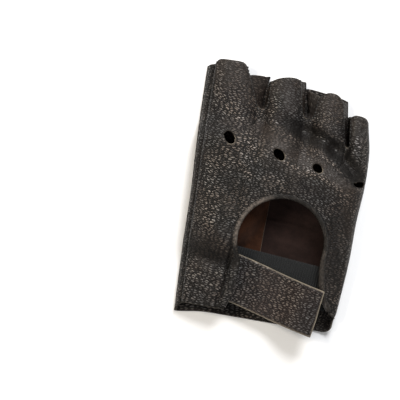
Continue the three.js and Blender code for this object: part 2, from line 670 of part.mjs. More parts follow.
// The patch on the inside of the palm follows the palm's own cells, up to a line of its columns.
function makePatch(palm) {
  const sheet = new Sheet();
  const edgeColumn = palm.columns.findIndex((column) => column.finger === 1 && column.share >= 0.5);
  const rows = [];
  for (let row = 0; row <= BODY_ROWS; row++) {
    const y = palm.sheet.points[palm.grid[row][0]].y / GLOVE_LENGTH;
    if (y > 0.2 && y < 0.72) rows.push(row);
  }
  const normals = palm.sheet.normals();
  const low = LEATHER + SEAM_GAP;
  const ids = rows.map((row) => palm.grid[row].slice(1, edgeColumn + 1).map((id) => {
    const place = palm.sheet.points[id].clone().addScaledVector(normals[id], -low);
    return { id: sheet.add(place.x, place.y, place.z), up: normals[id].clone().negate() };
  }));
  const far = ids.flat().map(({ id, up }) => sheet.points[id].clone().addScaledVector(up, PATCH_THICK));
  for (let r = 0; r + 1 < ids.length; r++) {
    for (let k = 0; k + 1 < ids[r].length; k++) {
      sheet.cells.push([ids[r][k + 1], ids[r + 1][k + 1], ids[r + 1][k], ids[r][k]].map((p) => p.id));
    }
  }
  return sheet.solid(far);
}

// The thumb is a flat tube, closed at its root and open at its cut tip, with a hole up into the palm.
function makeThumb() {
  const power = 3.2;
  const ring = (y, halfWidth, low, high) => {
    const points = [];
    for (let k = 0; k < THUMB_AROUND; k++) {
      const angle = (2 * Math.PI * (k + 0.5)) / THUMB_AROUND;
      const c = Math.cos(angle);
      const s = Math.sin(angle);
      const x = thumbX + halfWidth * Math.sign(c) * powerOf(c, 2 / power);
      const z = (low + high) / 2 + ((high - low) / 2) * Math.sign(s) * powerOf(s, 2 / power);
      points.push(new THREE.Vector3(x, y, z));
    }
    return points;
  };
  const rings = (inset) => {
    const list = [];
    for (let row = 0; row <= THUMB_ROWS; row++) {
      const share = row / THUMB_ROWS;
      const y = mix(thumbRootY + inset, thumbTipY, share ** 1.5);
      const round = Math.sqrt(1 - (1 - clamp((y - thumbRootY + 4) / (0.4 * THUMB_LENGTH), 0, 1)) ** 2);
      const high = THUMB_HEIGHT * mix(0.5, 1, ease(0, 0.25 * THUMB_LENGTH, y - thumbRootY));
      list.push(ring(y, (THUMB_WIDTH / 2) * round - inset, inset, high - inset));
    }
    return list;
  };
  const outer = rings(0);
  const inner = rings(LEATHER);
  const positions = [...outer, ...inner].flat().flatMap((p) => [p.x, p.y, p.z]);
  const at = (row, k, inside) => (row + (inside ? THUMB_ROWS + 1 : 0)) * THUMB_AROUND + (k % THUMB_AROUND);
  const triangles = [];
  const quad = (a, b, c, d) => triangles.push(a, b, c, a, c, d);
  for (let k = 0; k < THUMB_AROUND; k++) {
    for (let row = 0; row < THUMB_ROWS; row++) {
      quad(at(row, k, false), at(row, k + 1, false), at(row + 1, k + 1, false), at(row + 1, k, false));
      quad(at(row, k, true), at(row + 1, k, true), at(row + 1, k + 1, true), at(row, k + 1, true));
    }
    const tip = THUMB_ROWS;
    quad(at(tip, k, false), at(tip, k + 1, false), at(tip, k + 1, true), at(tip, k, true));
    if (k > 0 && k < THUMB_AROUND - 1) {
      triangles.push(at(0, 0, false), at(0, k + 1, false), at(0, k, false));
      triangles.push(at(0, 0, true), at(0, k, true), at(0, k + 1, true));
    }
  }
  return manifoldOf(positions, triangles);
}

// The hole through which the thumb goes down from the palm.
function rootCutter() {
  const y = thumbRootY + ROOT_HOLE.along * THUMB_LENGTH;
  const outline = ellipse(thumbX, y, ROOT_HOLE.halfWidth * THUMB_WIDTH, ROOT_HOLE.halfLength * THUMB_LENGTH, 0, 18);
  return prism(outline, THUMB_HEIGHT / 2, 2 * BODY_HEIGHT);
}

// The binding: a strip folded over the window's edge, in section a U lying on its side.
function makeBinding() {
  const line = windowLine(30, 8);
  const across = line.map((point, k) => {
    const before = line[Math.max(0, k - 1)];
    const after = line[Math.min(line.length - 1, k + 1)];
    const square = new THREE.Vector2(-(after.y - before.y), after.x - before.x).normalize();
    return square.lerp(new THREE.Vector2(-1, 0), 1 - ease(0, 4, k)).normalize(); // cut along the hem
  });
  const gap = BINDING_GAP;
  const reach = gap + BINDING_THICK;
  const section = (point, k) => {
    const flange = point.z;
    const place = (out, level) => {
      const x = point.x + across[k].x * out;
      const y = point.y + across[k].y * out;
      const height = level > 0 ? backHeight(x, y) : backUnderside(x, y);
      return new THREE.Vector3(x, y, height + level);
    };
    return [
      place(-reach, reach), place(flange, reach), place(flange, gap), place(-gap, gap),
      place(-gap, -gap), place(flange, -gap), place(flange, -reach), place(-reach, -reach),
    ];
  };
  const rings = line.map(section);
  const sides = rings[0].length;
  const positions = rings.flat().flatMap((p) => [p.x, p.y, p.z]);
  const triangles = [];
  for (let k = 0; k + 1 < rings.length; k++) {
    for (let n = 0; n < sides; n++) {
      const [a, b] = [k * sides + n, k * sides + ((n + 1) % sides)];
      triangles.push(a, b, b + sides, a, b + sides, a + sides);
    }
  }
  const cap = (first, flip) => {
    for (const [a, b, c] of [[0, 1, 2], [0, 2, 3], [0, 3, 4], [0, 4, 7], [4, 5, 6], [4, 6, 7]]) {
      triangles.push(...(flip ? [first + a, first + c, first + b] : [first + a, first + b, first + c]));
    }
  };
  cap(0, true);
  cap((rings.length - 1) * sides, false);
  return manifoldOf(positions, triangles);
}

// A flat piece as a grid over its length and width, with a height for each place.
function laidPiece(length, width, steps, place, thick) {
  const sheet = new Sheet();
  const grid = [];
  for (let i = 0; i <= steps.long; i++) {
    const line = [];
    for (let k = 0; k <= steps.wide; k++) {
      const along = i / steps.long;
      const across = k / steps.wide - 0.5;
      const point = place(along * length, across * width, along);
      line.push(sheet.add(point.x, point.y, point.z));
    }
    grid.push(line);
  }
  for (let i = 0; i < steps.long; i++) {
    for (let k = 0; k < steps.wide; k++) {
      sheet.cells.push([grid[i][k], grid[i + 1][k], grid[i + 1][k + 1], grid[i][k + 1]]);
    }
  }
  return sheet.solid(sheet.points.map((p) => p.clone().setZ(p.z - thick)));
}

const tabRootX = TAB_ROOT.x * GLOVE_WIDTH;
const tabRootY = TAB_ROOT.y * GLOVE_LENGTH;
const wrapThick = 2 * BINDING_GAP + BINDING_THICK; // what the binding needs on each face of the back

const tabPlace = (along, across) => new THREE.Vector2(along - TAB_TUCK, across)
  .rotateAround(new THREE.Vector2(), TAB_TURN).add(new THREE.Vector2(tabRootX, tabRootY));

const elasticPlace = (along, across) => new THREE.Vector2(along - ELASTIC_LENGTH / 2, across)
  .rotateAround(new THREE.Vector2(), ELASTIC.turn)
  .add(new THREE.Vector2(ELASTIC.x * GLOVE_WIDTH, ELASTIC.y * GLOVE_LENGTH));

// Heights of the back's face over part of a flat piece, from one end to another place along it.
function heightsOver(place, from, to, width, heightAt) {
  const heights = [];
  for (let i = 0; i <= 6; i++) {
    for (let k = 0; k <= 6; k++) {
      const { x, y } = place(mix(from, to, i / 6), (k / 6 - 0.5) * width);
      if (y > BACK_HEM) heights.push(heightAt(x, y));
    }
  }
  return heights;
}

// Height of the elastic's upper face. It runs under the tab and both edges of the back.
const tabUnder = heightsOver(tabPlace, 0, TAB_TUCK + 2 * BINDING_FLANGE, TAB_WIDTH, backUnderside);
const leftUnder = heightsOver(elasticPlace, 0, TAB_TUCK, ELASTIC_WIDTH, backUnderside);
const rightUnder = heightsOver(elasticPlace, 0.9 * ELASTIC_LENGTH, ELASTIC_LENGTH, ELASTIC_WIDTH, backUnderside);
const elasticLeft = Math.min(...tabUnder, ...leftUnder) - wrapThick - TAB_THICK - SEAM_GAP;
const elasticRight = Math.min(...rightUnder) - wrapThick;

function elasticHeight(x) {
  const start = elasticPlace(0, 0).x;
  const share = clamp((x - start) / (elasticPlace(ELASTIC_LENGTH, 0).x - start), 0, 1);
  return mix(elasticLeft, elasticRight, share) - ELASTIC_SAG * Math.sin(Math.PI * share);
}

function makeElastic() {
  const place = (along, across) => {
    const { x, y } = elasticPlace(along, across);
    return new THREE.Vector3(x, y, elasticHeight(x));
  };
  return laidPiece(ELASTIC_LENGTH, ELASTIC_WIDTH, { long: 12, wide: 3 }, place, ELASTIC_THICK);
}

// The tab leaves from under the left edge, lies on the elastic and climbs over the right edge.
function makeTab() {
  const over = heightsOver(tabPlace, TAB_LENGTH - TAB_OVERLAP, TAB_LENGTH, TAB_WIDTH, backHeight);
  const high = Math.max(...over) + wrapThick;
  const place = (along, across, share) => {
    const { x, y } = tabPlace(along - TAB_SLANT * share * (0.3 + across / TAB_WIDTH), across);
    const low = elasticHeight(x) + SEAM_GAP;
    return new THREE.Vector3(x, y, mix(low, high, ease(TAB_CLIMB, TAB_CLIMBED, share)) + TAB_THICK);
  };
  return laidPiece(TAB_LENGTH, TAB_WIDTH, { long: 16, wide: 4 }, place, TAB_THICK);
}

// The pieces
const back = makeBack();
const palm = makePalm();
for (const part of [back, palm]) {
  const normals = part.sheet.normals();
  part.under = part.sheet.points.map((p, k) => p.clone().addScaledVector(normals[k], -LEATHER));
}

const glove = new THREE.Group();
const body = new THREE.Group();
glove.add(body);

function addPiece(name, solid, material) {
  const mesh = new THREE.Mesh(geometryOf(solid), material);
  mesh.name = name;
  body.add(mesh);
}

let backSolid = back.sheet.thickened(LEATHER);
for (const cutter of [windowCutter(), ...knuckleCutters()]) backSolid = backSolid.subtract(cutter);
addPiece('back', backSolid, MATERIALS.backLeather);

const rootHole = rootCutter();
addPiece('palm', palm.sheet.thickened(LEATHER).subtract(rootHole), MATERIALS.palmLeather);
addPiece('palm_patch', makePatch(palm).subtract(rootHole), MATERIALS.patchSuede);
addPiece('thumb', makeThumb().subtract(rootHole), MATERIALS.palmLeather);
addPiece('window_binding', makeBinding(), MATERIALS.binding);
makeForks(back, palm).forEach((solid, k) => addPiece(FORKS[k].name, solid, MATERIALS.stripLeather));
makeSideStrips(back, palm).forEach((solid, k) => addPiece(SIDE_STRIPS[k].name, solid, MATERIALS.stripLeather));
addPiece('wrist_elastic', makeElastic(), MATERIALS.elastic);
addPiece('closing_tab', makeTab(), MATERIALS.tabLeather);

// The origin is on the floor, under the middle of the glove.
const box = new THREE.Box3().setFromObject(body);
const centre = box.getCenter(new THREE.Vector3());
body.position.set(-centre.x, -centre.y, -box.min.z);

export default glove;
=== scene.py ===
"""Leather, thread and knit for a fingerless glove lying on its palm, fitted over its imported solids."""

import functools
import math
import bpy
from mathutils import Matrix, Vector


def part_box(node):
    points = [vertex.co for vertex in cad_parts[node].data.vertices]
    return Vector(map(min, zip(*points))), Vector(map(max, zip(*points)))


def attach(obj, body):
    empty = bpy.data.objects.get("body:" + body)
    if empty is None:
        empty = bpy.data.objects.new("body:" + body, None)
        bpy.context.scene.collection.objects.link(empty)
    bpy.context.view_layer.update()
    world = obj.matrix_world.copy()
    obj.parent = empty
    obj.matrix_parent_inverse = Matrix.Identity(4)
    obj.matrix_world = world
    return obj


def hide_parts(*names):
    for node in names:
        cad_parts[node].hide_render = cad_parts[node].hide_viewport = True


bl_info = {
    "name": "Fingerless Glove Dressing",
    "version": (1, 0, 0),
    "blender": (4, 5, 0),
    "location": "View3D > Sidebar > Glove",
    "description": "Leather, binding, knit, stitches and studio for a fingerless leather glove",
    "category": "Add Mesh",
}

import bpy
import numpy as np
from mathutils import Vector
from mathutils.kdtree import KDTree

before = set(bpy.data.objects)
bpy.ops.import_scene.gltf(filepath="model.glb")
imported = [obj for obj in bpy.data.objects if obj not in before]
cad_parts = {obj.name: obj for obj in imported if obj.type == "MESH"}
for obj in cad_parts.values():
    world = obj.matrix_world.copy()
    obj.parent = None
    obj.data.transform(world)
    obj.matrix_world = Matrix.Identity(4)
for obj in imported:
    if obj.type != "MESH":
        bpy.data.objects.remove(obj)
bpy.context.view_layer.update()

MM = 0.001

# The glove's own sizes in millimetres, as in its solids. Fingers run along +Y, the thumb is at -X.
GLOVE_WIDTH = 104.0
GLOVE_LENGTH = 152.0
BODY_HEIGHT = 16.0
LEATHER = 1.2
SEAM_GAP = 0.4
SEAM_INSET = 0.4
BACK_HEM = 3.5
HEM_DROOP = 2.4
HEM_REACH = 14.0
THUMB_WIDTH = 32.0
THUMB_HEIGHT = 9.4
THUMB_LENGTH = 53.0
THUMB_DRAPE = 13.0
PATCH_THICK = 1.0
BINDING_THICK = 0.8
BINDING_GAP = 0.5
BINDING_FLANGE = 1.6
WINDOW_RADIUS = 27.2
TAB_LENGTH = 63.0
TAB_WIDTH = 28.5
TAB_THICK = 2.4
TAB_TURN = math.radians(-13.8)
TAB_TUCK = 6.5
TAB_SLANT = 3.0
ELASTIC_WIDTH = 25.0
ELASTIC_THICK = 1.6
ELASTIC_LENGTH = 65.0

# at is a share of GLOVE_LENGTH; the next four columns are shares of GLOVE_WIDTH, the last two of BODY_HEIGHT.
BODY_COLUMNS = ("at", "seam", "palm", "side", "roll", "crown", "seam_height")
BODY = [
    (0.0, -0.423, -0.446, 0.471, 0.125, 0.97, 0.62),
    (0.12, -0.432, -0.454, 0.485, 0.125, 1.08, 0.6),
    (0.3, -0.445, -0.464, 0.502, 0.13, 1.12, 0.56),
    (0.45, -0.45, -0.468, 0.503, 0.125, 1.14, 0.56),
    (0.6, -0.458, -0.481, 0.516, 0.115, 1.12, 0.56),
    (0.73, -0.462, -0.49, 0.508, 0.085, 1.0, 0.6),
    (0.84, -0.465, -0.495, 0.476, 0.07, 0.86, 0.62),
    (1.0, -0.469, -0.5, 0.44, 0.055, 0.76, 0.56),
]
CROWN_AT = -0.03
DOME_POWER = 2.4
SIDE_DROP = 0.12
ROLL_MIDDLE = 0.45
ROLL_POWER = 2.3
ROLL_UNDER = 0.85
KNUCKLE_LINE = 0.7

# Places across are shares of GLOVE_WIDTH, tips and drops shares of GLOVE_LENGTH. None follows the
# body's edge.
FINGER_COLUMNS = ("left", "right", "tip_left", "tip_right", "tip", "drop", "corner", "lean")
BACK_FINGERS = [
    (None, -0.178, None, -0.264, 0.997, 0.022, 6, -0.005),
    (-0.127, 0.092, -0.127, 0.052, 0.966, 0.014, 2.4, -0.025),
    (0.15, 0.363, 0.158, 0.32, 0.936, 0.034, 2.4, 0),
    (0.381, None, 0.358, None, 0.866, 0.016, 2, 0),
]
PALM_FINGERS = [
    (None, -0.1435, None, -0.1315, 0.95, -0.01, 3, 0),
    (-0.1415, 0.1105, -0.1285, 0.0785, 0.957, 0.006, 3, -0.022),
    (0.1145, 0.3765, 0.0815, 0.337, 0.931, 0.006, 4, 0.022),
    (0.3805, None, 0.3555, None, 0.858, 0.004, 4, 0),
]
FORKS = {"back": (0.827, 0.819, 0.734), "palm": (0.845, 0.843, 0.748)}
# Name; how far up the back's edge of the finger before and after it the leather goes; how far (mm) it
# stands past the back's corner of the finger after it; and its rounding at the tips (mm).
FORK_LEATHERS = [
    ("fork_index_middle", 0.8, 1.0, 0.0, 2.6),
    ("fork_middle_ring", 1.0, 1.0, 2.4, 1.6),
    ("fork_ring_little", 1.0, 1.0, 0.0, 1.5),
]

# x0, y0, x1, y1, spread, rise: the main folds, as in the solids.
FOLDS = [
    (0.0, 0.79, 0.3, 0.72, 0.045, -0.15),
    (0.3, 0.72, 0.46, 0.625, 0.045, -0.17),
    (-0.06, 0.64, 0.34, 0.56, 0.06, 0.09),
    (-0.42, 0.25, -0.2, 0.2, 0.04, -0.09),
    (0.38, 0.42, 0.46, 0.2, 0.035, -0.07),
]
# Finer creases of the leather in millimetres: start, end, how far the middle bows to the left of the
# line, half width, and rise (below zero for a crease, above for a ridge).
CREASES = [
    (-44, 64, -26, 70, -1.2, 1.8, -0.3),
    (-40, 78, -22, 72, 1, 2.2, -0.3),
    (-46, 50, -30, 43, 1.5, 2.6, -0.5),
    (-45, 42, -28, 36, 1.2, 2.0, -0.45),
    (-46, 33, -24, 27, 1.6, 2.2, -0.5),
    (-45, 25, -27, 17, 1.2, 1.7, -0.4),
    (-46, 15, -30, 11, 0.8, 1.6, -0.35),
    (-36, 56, -24, 40, 1.5, 2.2, 0.35),
    (-40, 20, -24, 8, 1.2, 2.4, 0.4),
    (-34, 84, -19, 71, 1.0, 3.4, -0.5),
    (-28, 97, -13, 81, 1.2, 4.0, 0.6),
    (-30, 128, -14, 105, -1.5, 5.5, 0.5),
    (-9, 85, 8, 80, 0.8, 3.6, 0.45),
    (16, 90, 37, 80, 0.6, 3.2, -0.5),
    (41, 74, 47, 58, 1.2, 2.0, -0.4),
    (39, 58, 48, 40, 1.2, 2.2, -0.5),
    (42, 42, 49, 26, 0.8, 1.8, -0.4),
    (43, 88.2, 53, 87.0, 0.3, 1.0, 1.1),
]
# The long folds below the knuckles as paths: points, half width, rise.
LONG_FOLDS = [
    ([
        (8, 118.6), (14, 117.4), (22.4, 115.3), (29.5, 111.6), (35.3, 107.5), (40.5, 103.4), (43.8, 100),
        (48.4, 92),
    ], 3.8, -2.2),
    ([(-19.0, 42), (-19.3, 32), (-19.8, 20), (-22.4, 5)], 0.85, -1.7),
    ([(12, 124), (24, 120), (34, 114), (42, 106)], 2.6, 0.4),
    ([(-17, 119), (-5, 109), (4, 103.5), (14, 100), (26, 97), (36, 92), (44, 86)], 5.6, 0.55),
]
# The leather's slow waves: rise, stretch in x and in y, wave, seed.
SLOW_WAVES = [(0.42, 1, 1, 17.0, 3), (0.2, 1.2, 0.8, 8.0, 4), (0.055, 1, 1, 3.2, 6)]

# Paths, half width and value of painted light on the back's grain: above zero its tops are painted lighter as
# glints, below zero it is painted darker as shade.
GLINT_AND_SHADE_ZONES = [
    ([(-37.3, 125.5), (-27.2, 116.9), (-18.9, 111.1)], 5.5, 0.6),
    ([(-5.7, 115.9), (11.8, 109.8), (24.2, 105.3), (37.2, 97.2)], 1.8, 0.8),
    ([(5, 96.4), (14.9, 92.1), (25.9, 92.2), (35.8, 87.8), (42.7, 83)], 2.3, 0.9),
    ([(-4.4, 84.4), (4.5, 82.3)], 5, 0.5),
    ([(-27.5, 104.7), (-13.5, 101.1)], 5, 0.5),
    ([(-23.9, 91.3), (-15.5, 84.9)], 3.4, 0.6),
    ([(-32.5, 84.3), (-21.7, 71.6)], 5, -0.6),
    ([(13.7, 85.2), (26.3, 82.5)], 3.8, -0.6),
    ([(-44.8, 57.8), (-35.9, 48.4)], 4.5, 0.3),
    ([(-41.7, 26), (-25.9, 12.4)], 6, 0.35),
    ([(-20.4, 119.4), (-13, 112.1)], 3.2, -0.5),
    ([(40.6, 71), (38.8, 46.3), (37.7, 24.8)], 5.5, -0.85),
    ([(3.5, 118.7), (22.4, 115.3), (35.4, 107.3), (43.8, 100.8), (48.3, 92.5)], 4.6, -0.9),
    ([(-46.6, 40.4), (-34.2, 35.3)], 5, -0.5),
]

# x, y, long, short as shares; turn of the long axis from +Y towards -X in degrees.
KNUCKLE_HOLES = [
    (-0.305, 0.695, 0.088, 0.064, 30),
    (-0.005, 0.661, 0.085, 0.058, 52),
    (0.226, 0.634, 0.07, 0.05, 58),
]
SIDE_HOLE = {"y": 0.6, "long": 0.036, "short": 0.095, "tilt": 40, "out": 0.42}

WINDOW = {"x": 0.089, "y": 0.322, "from": -10, "to": 206}
LEFT_LEG = [(-0.855, -0.55, 2.3), (-0.852, -0.9, 3.2), (-0.89, -1.3, 3.3), (-0.985, -1.62, 3.2)]
RIGHT_LEG = [(0.985, -0.35, 1.3), (1.03, -0.72, 1.6), (1.13, -1.08, 1.6), (1.3, -1.32, 1.5)]

SIDE_STRIPS = [
    ("side_strip_heel", 0.0, 0.378),
    ("side_strip_thumb", 0.378, 0.622),
    ("side_strip_knuckle", 0.622, 0.786),
    ("side_strip_index", 0.786, 1.0),
]
THUMB = {"x": -0.3, "root": 0.32}
ROOT_HOLE = {"along": 0.34, "half_width": 0.36, "half_length": 0.2}
TAB_ROOT = (-0.15, 0.152)
ELASTIC = (0.102, 0.182, math.radians(-4.4))

# x0, y0, x1, y1, half width: bands where the back's grain is stretched smooth.
CALM_BANDS = [
    (-14, 116, -4, 108, 3.6),
    (-4, 106, 12, 100.5, 4.2),
    (10, 101, 28, 97, 4.6),
    (26, 97, 44, 87, 3.8),
    (-1, 141, 1, 131, 5.0),
    (44, 74, 50, 60, 3.5),
]

# Creases inside the palm, as above.
PALM_CREASES = [
    (2, 60.5, 31, 57.3, 0.8, 1.3, 0.75),
    (8, 70, 33, 66, -0.8, 1.5, 0.4),
    (4, 50, 27, 46, 0.6, 1.4, 0.35),
    (22, 74, 26, 46, 0.8, 1.8, 0.3),
    (10, 38, 32, 32, 0.8, 1.5, 0.4),
]

# Pinholes left in the leather, x and y in millimetres.
PINHOLES = [
    (-36.6, 139.5), (-34.2, 123.6), (-23.0, 127.3), (-4.0, 133.8), (0.1, 121.2), (7.2, 119.0), (-41.0, 70.1),
    (-32.2, 24.7), (-36.4, 121.9), (-14.3, 118.0), (24.4, 120.4), (-6.0, 108.0), (36.4, 108.3),
    (-20.5, 101.0),
]

FINE_BODY_ROWS = 172
FINE_FINGER_ROWS = 34
FINE_BACK_CELLS = (42, 32, 30, 8)
FINE_PALM_CELLS = (30, 24, 24, 8)
FINE_FORK_CELLS = 8
FINE_ROLL_CELLS = 12
SNAP = 0.42  # a grid point nearer than this to a cut's outline moves on to it


# Small maths on arrays


def mix(a, b, t):
    return a + (b - a) * t


def ease(low, high, v):
    t = np.clip((np.asarray(v, float) - low) / (high - low), 0, 1)
    return t * t * (3 - 2 * t)


def power_of(v, p):
    return np.abs(v) ** p


def track(column, size):
    """A column of BODY as a smooth function of y, times size."""
    k = BODY_COLUMNS.index(column)
    at = np.array([row[0] for row in BODY])
    value = np.array([row[k] for row in BODY])
    slope = np.empty_like(value)
    for n in range(len(value)):
        a = max(0, n - 1)
        b = min(len(value) - 1, n + 1)
        slope[n] = (value[b] - value[a]) / (at[b] - at[a])

    def follow(y):
        s = np.clip(np.asarray(y, float) / GLOVE_LENGTH, at[0], at[-1])
        n = np.clip(np.searchsorted(at, s, side="left") - 1, 0, len(at) - 2)
        h = at[n + 1] - at[n]
        t = (s - at[n]) / h
        rise = value[n + 1] - value[n]
        a = slope[n] * h - rise
        b = rise - slope[n + 1] * h
        return size * (value[n] + rise * t + t * (1 - t) * (a * (1 - t) + b * t))

    return follow


seam_x = track("seam", GLOVE_WIDTH)
palm_x = track("palm", GLOVE_WIDTH)
side_x = track("side", GLOVE_WIDTH)
roll_width = track("roll", GLOVE_WIDTH)
crown_height = track("crown", BODY_HEIGHT)
seam_height = track("seam_height", BODY_HEIGHT)


def roll_start_x(y):
    return side_x(y) - roll_width(y)


def roll_end_x(y):
    return side_x(y) - ROLL_UNDER * roll_width(y)


THUMB_X = THUMB["x"] * GLOVE_WIDTH
THUMB_ROOT_Y = THUMB["root"] * GLOVE_LENGTH
THUMB_TIP_Y = THUMB_ROOT_Y + THUMB_LENGTH
THUMB_LIFT = THUMB_HEIGHT + SEAM_GAP
THUMB_CLEAR = 1.0

# From the glove's own frame to the row's, both in millimetres. The thumb's solid says where it lies.
_low, _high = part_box("thumb")
SHIFT = np.array([(_low.x + _high.x) / 2 / MM - THUMB_X, _low.y / MM - THUMB_ROOT_Y, 0.0])


def palm_height(x, y):
    half = THUMB_WIDTH / 2
    side = np.maximum(0, x - THUMB_X)
    middle = (THUMB_ROOT_Y + THUMB_TIP_Y) / 2
    corner = np.where(y < middle, half, 0.3 * half)
    over = np.maximum(0, side - half + corner)
    past = np.maximum(0, np.abs(y - middle) - THUMB_LENGTH / 2 + corner)
    away = np.hypot(over, past) - corner - THUMB_CLEAR
    return THUMB_LIFT * (1 - ease(0, THUMB_DRAPE, away))


def back_lift(x, y):
    tip = THUMB_TIP_Y + THUMB_CLEAR
    along = ease(THUMB_ROOT_Y - 1.6 * THUMB_DRAPE, THUMB_ROOT_Y, y)
    along = along * (1 - ease(tip, tip + 1.4 * THUMB_DRAPE, y))
    return THUMB_LIFT * along * (1 - 0.75 * ease(-0.3 * GLOVE_WIDTH, 0.36 * GLOVE_WIDTH, x))


def along_line(x, y, x0, y0, x1, y1):
    """Share along a line, distance from it (left of it above zero), and the line's length."""
    dx = x1 - x0
    dy = y1 - y0
    length = math.hypot(dx, dy)
    share = ((x - x0) * dx + (y - y0) * dy) / length**2
    held = np.clip(share, 0, 1)
    side = (dx * (y - y0) - dy * (x - x0)) / length
    past = (share - held) * length
    return held, side, past


def fold_height(x, y):
    height = np.zeros(np.broadcast(x, y).shape)
    for x0, y0, x1, y1, spread, rise in FOLDS:
        ends = x0 * GLOVE_WIDTH, y0 * GLOVE_LENGTH, x1 * GLOVE_WIDTH, y1 * GLOVE_LENGTH
        _, side, past = along_line(x, y, *ends)
        away = np.hypot(side, past) / (spread * GLOVE_WIDTH)
        height += rise * BODY_HEIGHT * np.exp(-(away**2))
    return height


def lattice_noise(x, y, wave, seed):
    """Smooth noise from -1 to 1 with bumps about a wave apart."""
    rng = np.random.default_rng(seed)
    table = rng.uniform(-1, 1, (64, 64))
    u = np.asarray(x, float) / wave + 31.3
    v = np.asarray(y, float) / wave + 17.7
    i = np.floor(u).astype(int)
    j = np.floor(v).astype(int)
    s = u - i
    t = v - j
    s = s * s * s * (s * (6 * s - 15) + 10)
    t = t * t * t * (t * (6 * t - 15) + 10)
    a = table[i % 64, j % 64]
    b = table[(i + 1) % 64, j % 64]
    c = table[i % 64, (j + 1) % 64]
    d = table[(i + 1) % 64, (j + 1) % 64]
    return mix(mix(a, b, s), mix(c, d, s), t)


def along_path(x, y, path):
    """Share along a path of points, and the distance from it."""
    corners = np.array(path, float)
    runs = np.hypot(*np.diff(corners, axis=0).T)
    starts = np.concatenate([[0], np.cumsum(runs)])
    best = np.full(np.broadcast(x, y).shape, 1e9)
    share = np.zeros(best.shape)
    for (x0, y0), (x1, y1), start, run in zip(corners, corners[1:], starts, runs):
        held, side, past = along_line(x, y, x0, y0, x1, y1)
        away = np.hypot(side, past)
        share = np.where(away < best, (start + held * run) / starts[-1], share)
        best = np.minimum(away, best)
    return share, best


def crease_height(x, y):
    """The finer creases and the leather's slow waves."""
    height = np.zeros(np.broadcast(x, y).shape)
    for path, half, rise in LONG_FOLDS:
        share, away = along_path(x, y, path)
        away = away / half
        strength = 0.3 + 0.7 * np.sin(math.pi * np.clip(share, 0.02, 0.98)) ** 0.6
        height += rise * strength * np.exp(-(np.abs(away) ** 1.7))
    for x0, y0, x1, y1, bow, half, rise in CREASES:
        share, side, past = along_line(x, y, x0, y0, x1, y1)
        wander = 0.5 * lattice_noise(x, y, 5.0, int(abs(7 * x0 + 3 * y0)) + 5)
        away = (side - bow * 4 * share * (1 - share) - wander) / half
        fade = np.exp(-((past / (1.6 * half)) ** 2)) * (0.35 + 0.65 * np.sin(math.pi * share) ** 0.7)
        shape = np.exp(-(away**2)) - 0.28 * np.exp(-(((away - 1.9) / 1.1) ** 2))
        height += rise * fade * shape
    for rise, across, along, wave, seed in SLOW_WAVES:
        height += rise * lattice_noise(x * across, y * along, wave, seed)
    return height


def dome_height(x, y):
    crown = crown_height(y)
    middle = CROWN_AT * GLOVE_WIDTH
    out_left = np.maximum(0, (middle - x) / (middle - seam_x(y)))
    left = crown - (crown - seam_height(y)) * power_of(out_left, DOME_POWER)
    out_right = np.maximum(0, (x - middle) / (roll_start_x(y) - middle))
    right = crown * (1 - SIDE_DROP * power_of(out_right, DOME_POWER))
    return np.where(x < middle, left, right)


def rolled_height(height, y, out):
    middle = ROLL_MIDDLE * crown_height(y)
    return middle + (height - middle) * (1 - power_of(np.clip(out, 0, 1), ROLL_POWER)) ** (1 / ROLL_POWER)


def rim_height(x, y):
    """The leather stands up a little round each knuckle hole, and puckers towards it."""
    height = np.zeros(np.broadcast(x, y).shape)
    for hx, hy, long, short, turn in KNUCKLE_HOLES:
        dx = x - hx * GLOVE_WIDTH
        dy = y - hy * GLOVE_LENGTH
        c = math.cos(math.radians(turn))
        s = math.sin(math.radians(turn))
        u = (dx * c + dy * s) / (short * GLOVE_WIDTH / 2)
        v = (-dx * s + dy * c) / (long * GLOVE_WIDTH / 2)
        away = np.hypot(u, v) - 1
        height += 0.12 * np.exp(-((away / 0.35) ** 2)) - 0.1 * np.exp(-(((away - 0.9) / 0.5) ** 2))
    return height


def back_height(x, y):
    """The back's outer face below the knuckles, with its creases."""
    out = (x - roll_start_x(y)) / roll_width(y)
    top = dome_height(x, y) + back_lift(x, y) + fold_height(x, y) + crease_height(x, y) + rim_height(x, y)
    return np.where(out > 0, rolled_height(top, y, out), top)


def back_underside(x, y):
    step = 0.6
    slope_x = (back_height(x + step, y) - back_height(x - step, y)) / (2 * step)
    slope_y = (back_height(x, y + step) - back_height(x, y - step)) / (2 * step)
    return back_height(x, y) - LEATHER * np.sqrt(1 + slope_x**2 + slope_y**2)


def burnish(points):
    """Painted glints (above zero) and painted shade (below zero) on the back's grain, from the zones."""
    x, y = points[:, 0], points[:, 1]
    value = np.zeros(len(points))
    for path, half, strength in GLINT_AND_SHADE_ZONES:
        _, away = along_path(x, y, path)
        value += strength * np.exp(-((away / half) ** 2))
    return np.clip(value, -1, 1)


# Meshes


def unit(vectors):
    return vectors / np.maximum(1e-12, np.linalg.norm(vectors, axis=-1))[..., None]


def run_along(line):
    """How far along a line of points each of them lies."""
    return np.concatenate([[0], np.cumsum(np.linalg.norm(np.diff(line, axis=0), axis=1))])


def read_at(places, known, line):
    """A line of points that is known at some places, read at others."""
    return np.stack([np.interp(places, known, column) for column in np.asarray(line).T], axis=1)


def numbered(shape):
    return np.arange(shape[0] * shape[1]).reshape(shape)


def quads(ids):
    """Faces of a grid of point numbers, row by row."""
    return np.stack([ids[:-1, :-1], ids[:-1, 1:], ids[1:, 1:], ids[1:, :-1]], axis=2).reshape(-1, 4)


def turned_quads(ids):
    """The same faces, facing the other way."""
    return quads(ids)[:, [0, 3, 2, 1]]


def closed_round(ids):
    """Point numbers with the first column repeated last, so that the grid's faces close round."""
    return np.concatenate([ids, ids[:, :1]], axis=1)


def flipped(faces):
    """Faces turned over. A missing fourth corner stays last."""
    turned = faces[:, ::-1].copy()
    three = faces[:, 3] < 0
    turned[three] = faces[three][:, [2, 1, 0, 3]]
    return turned


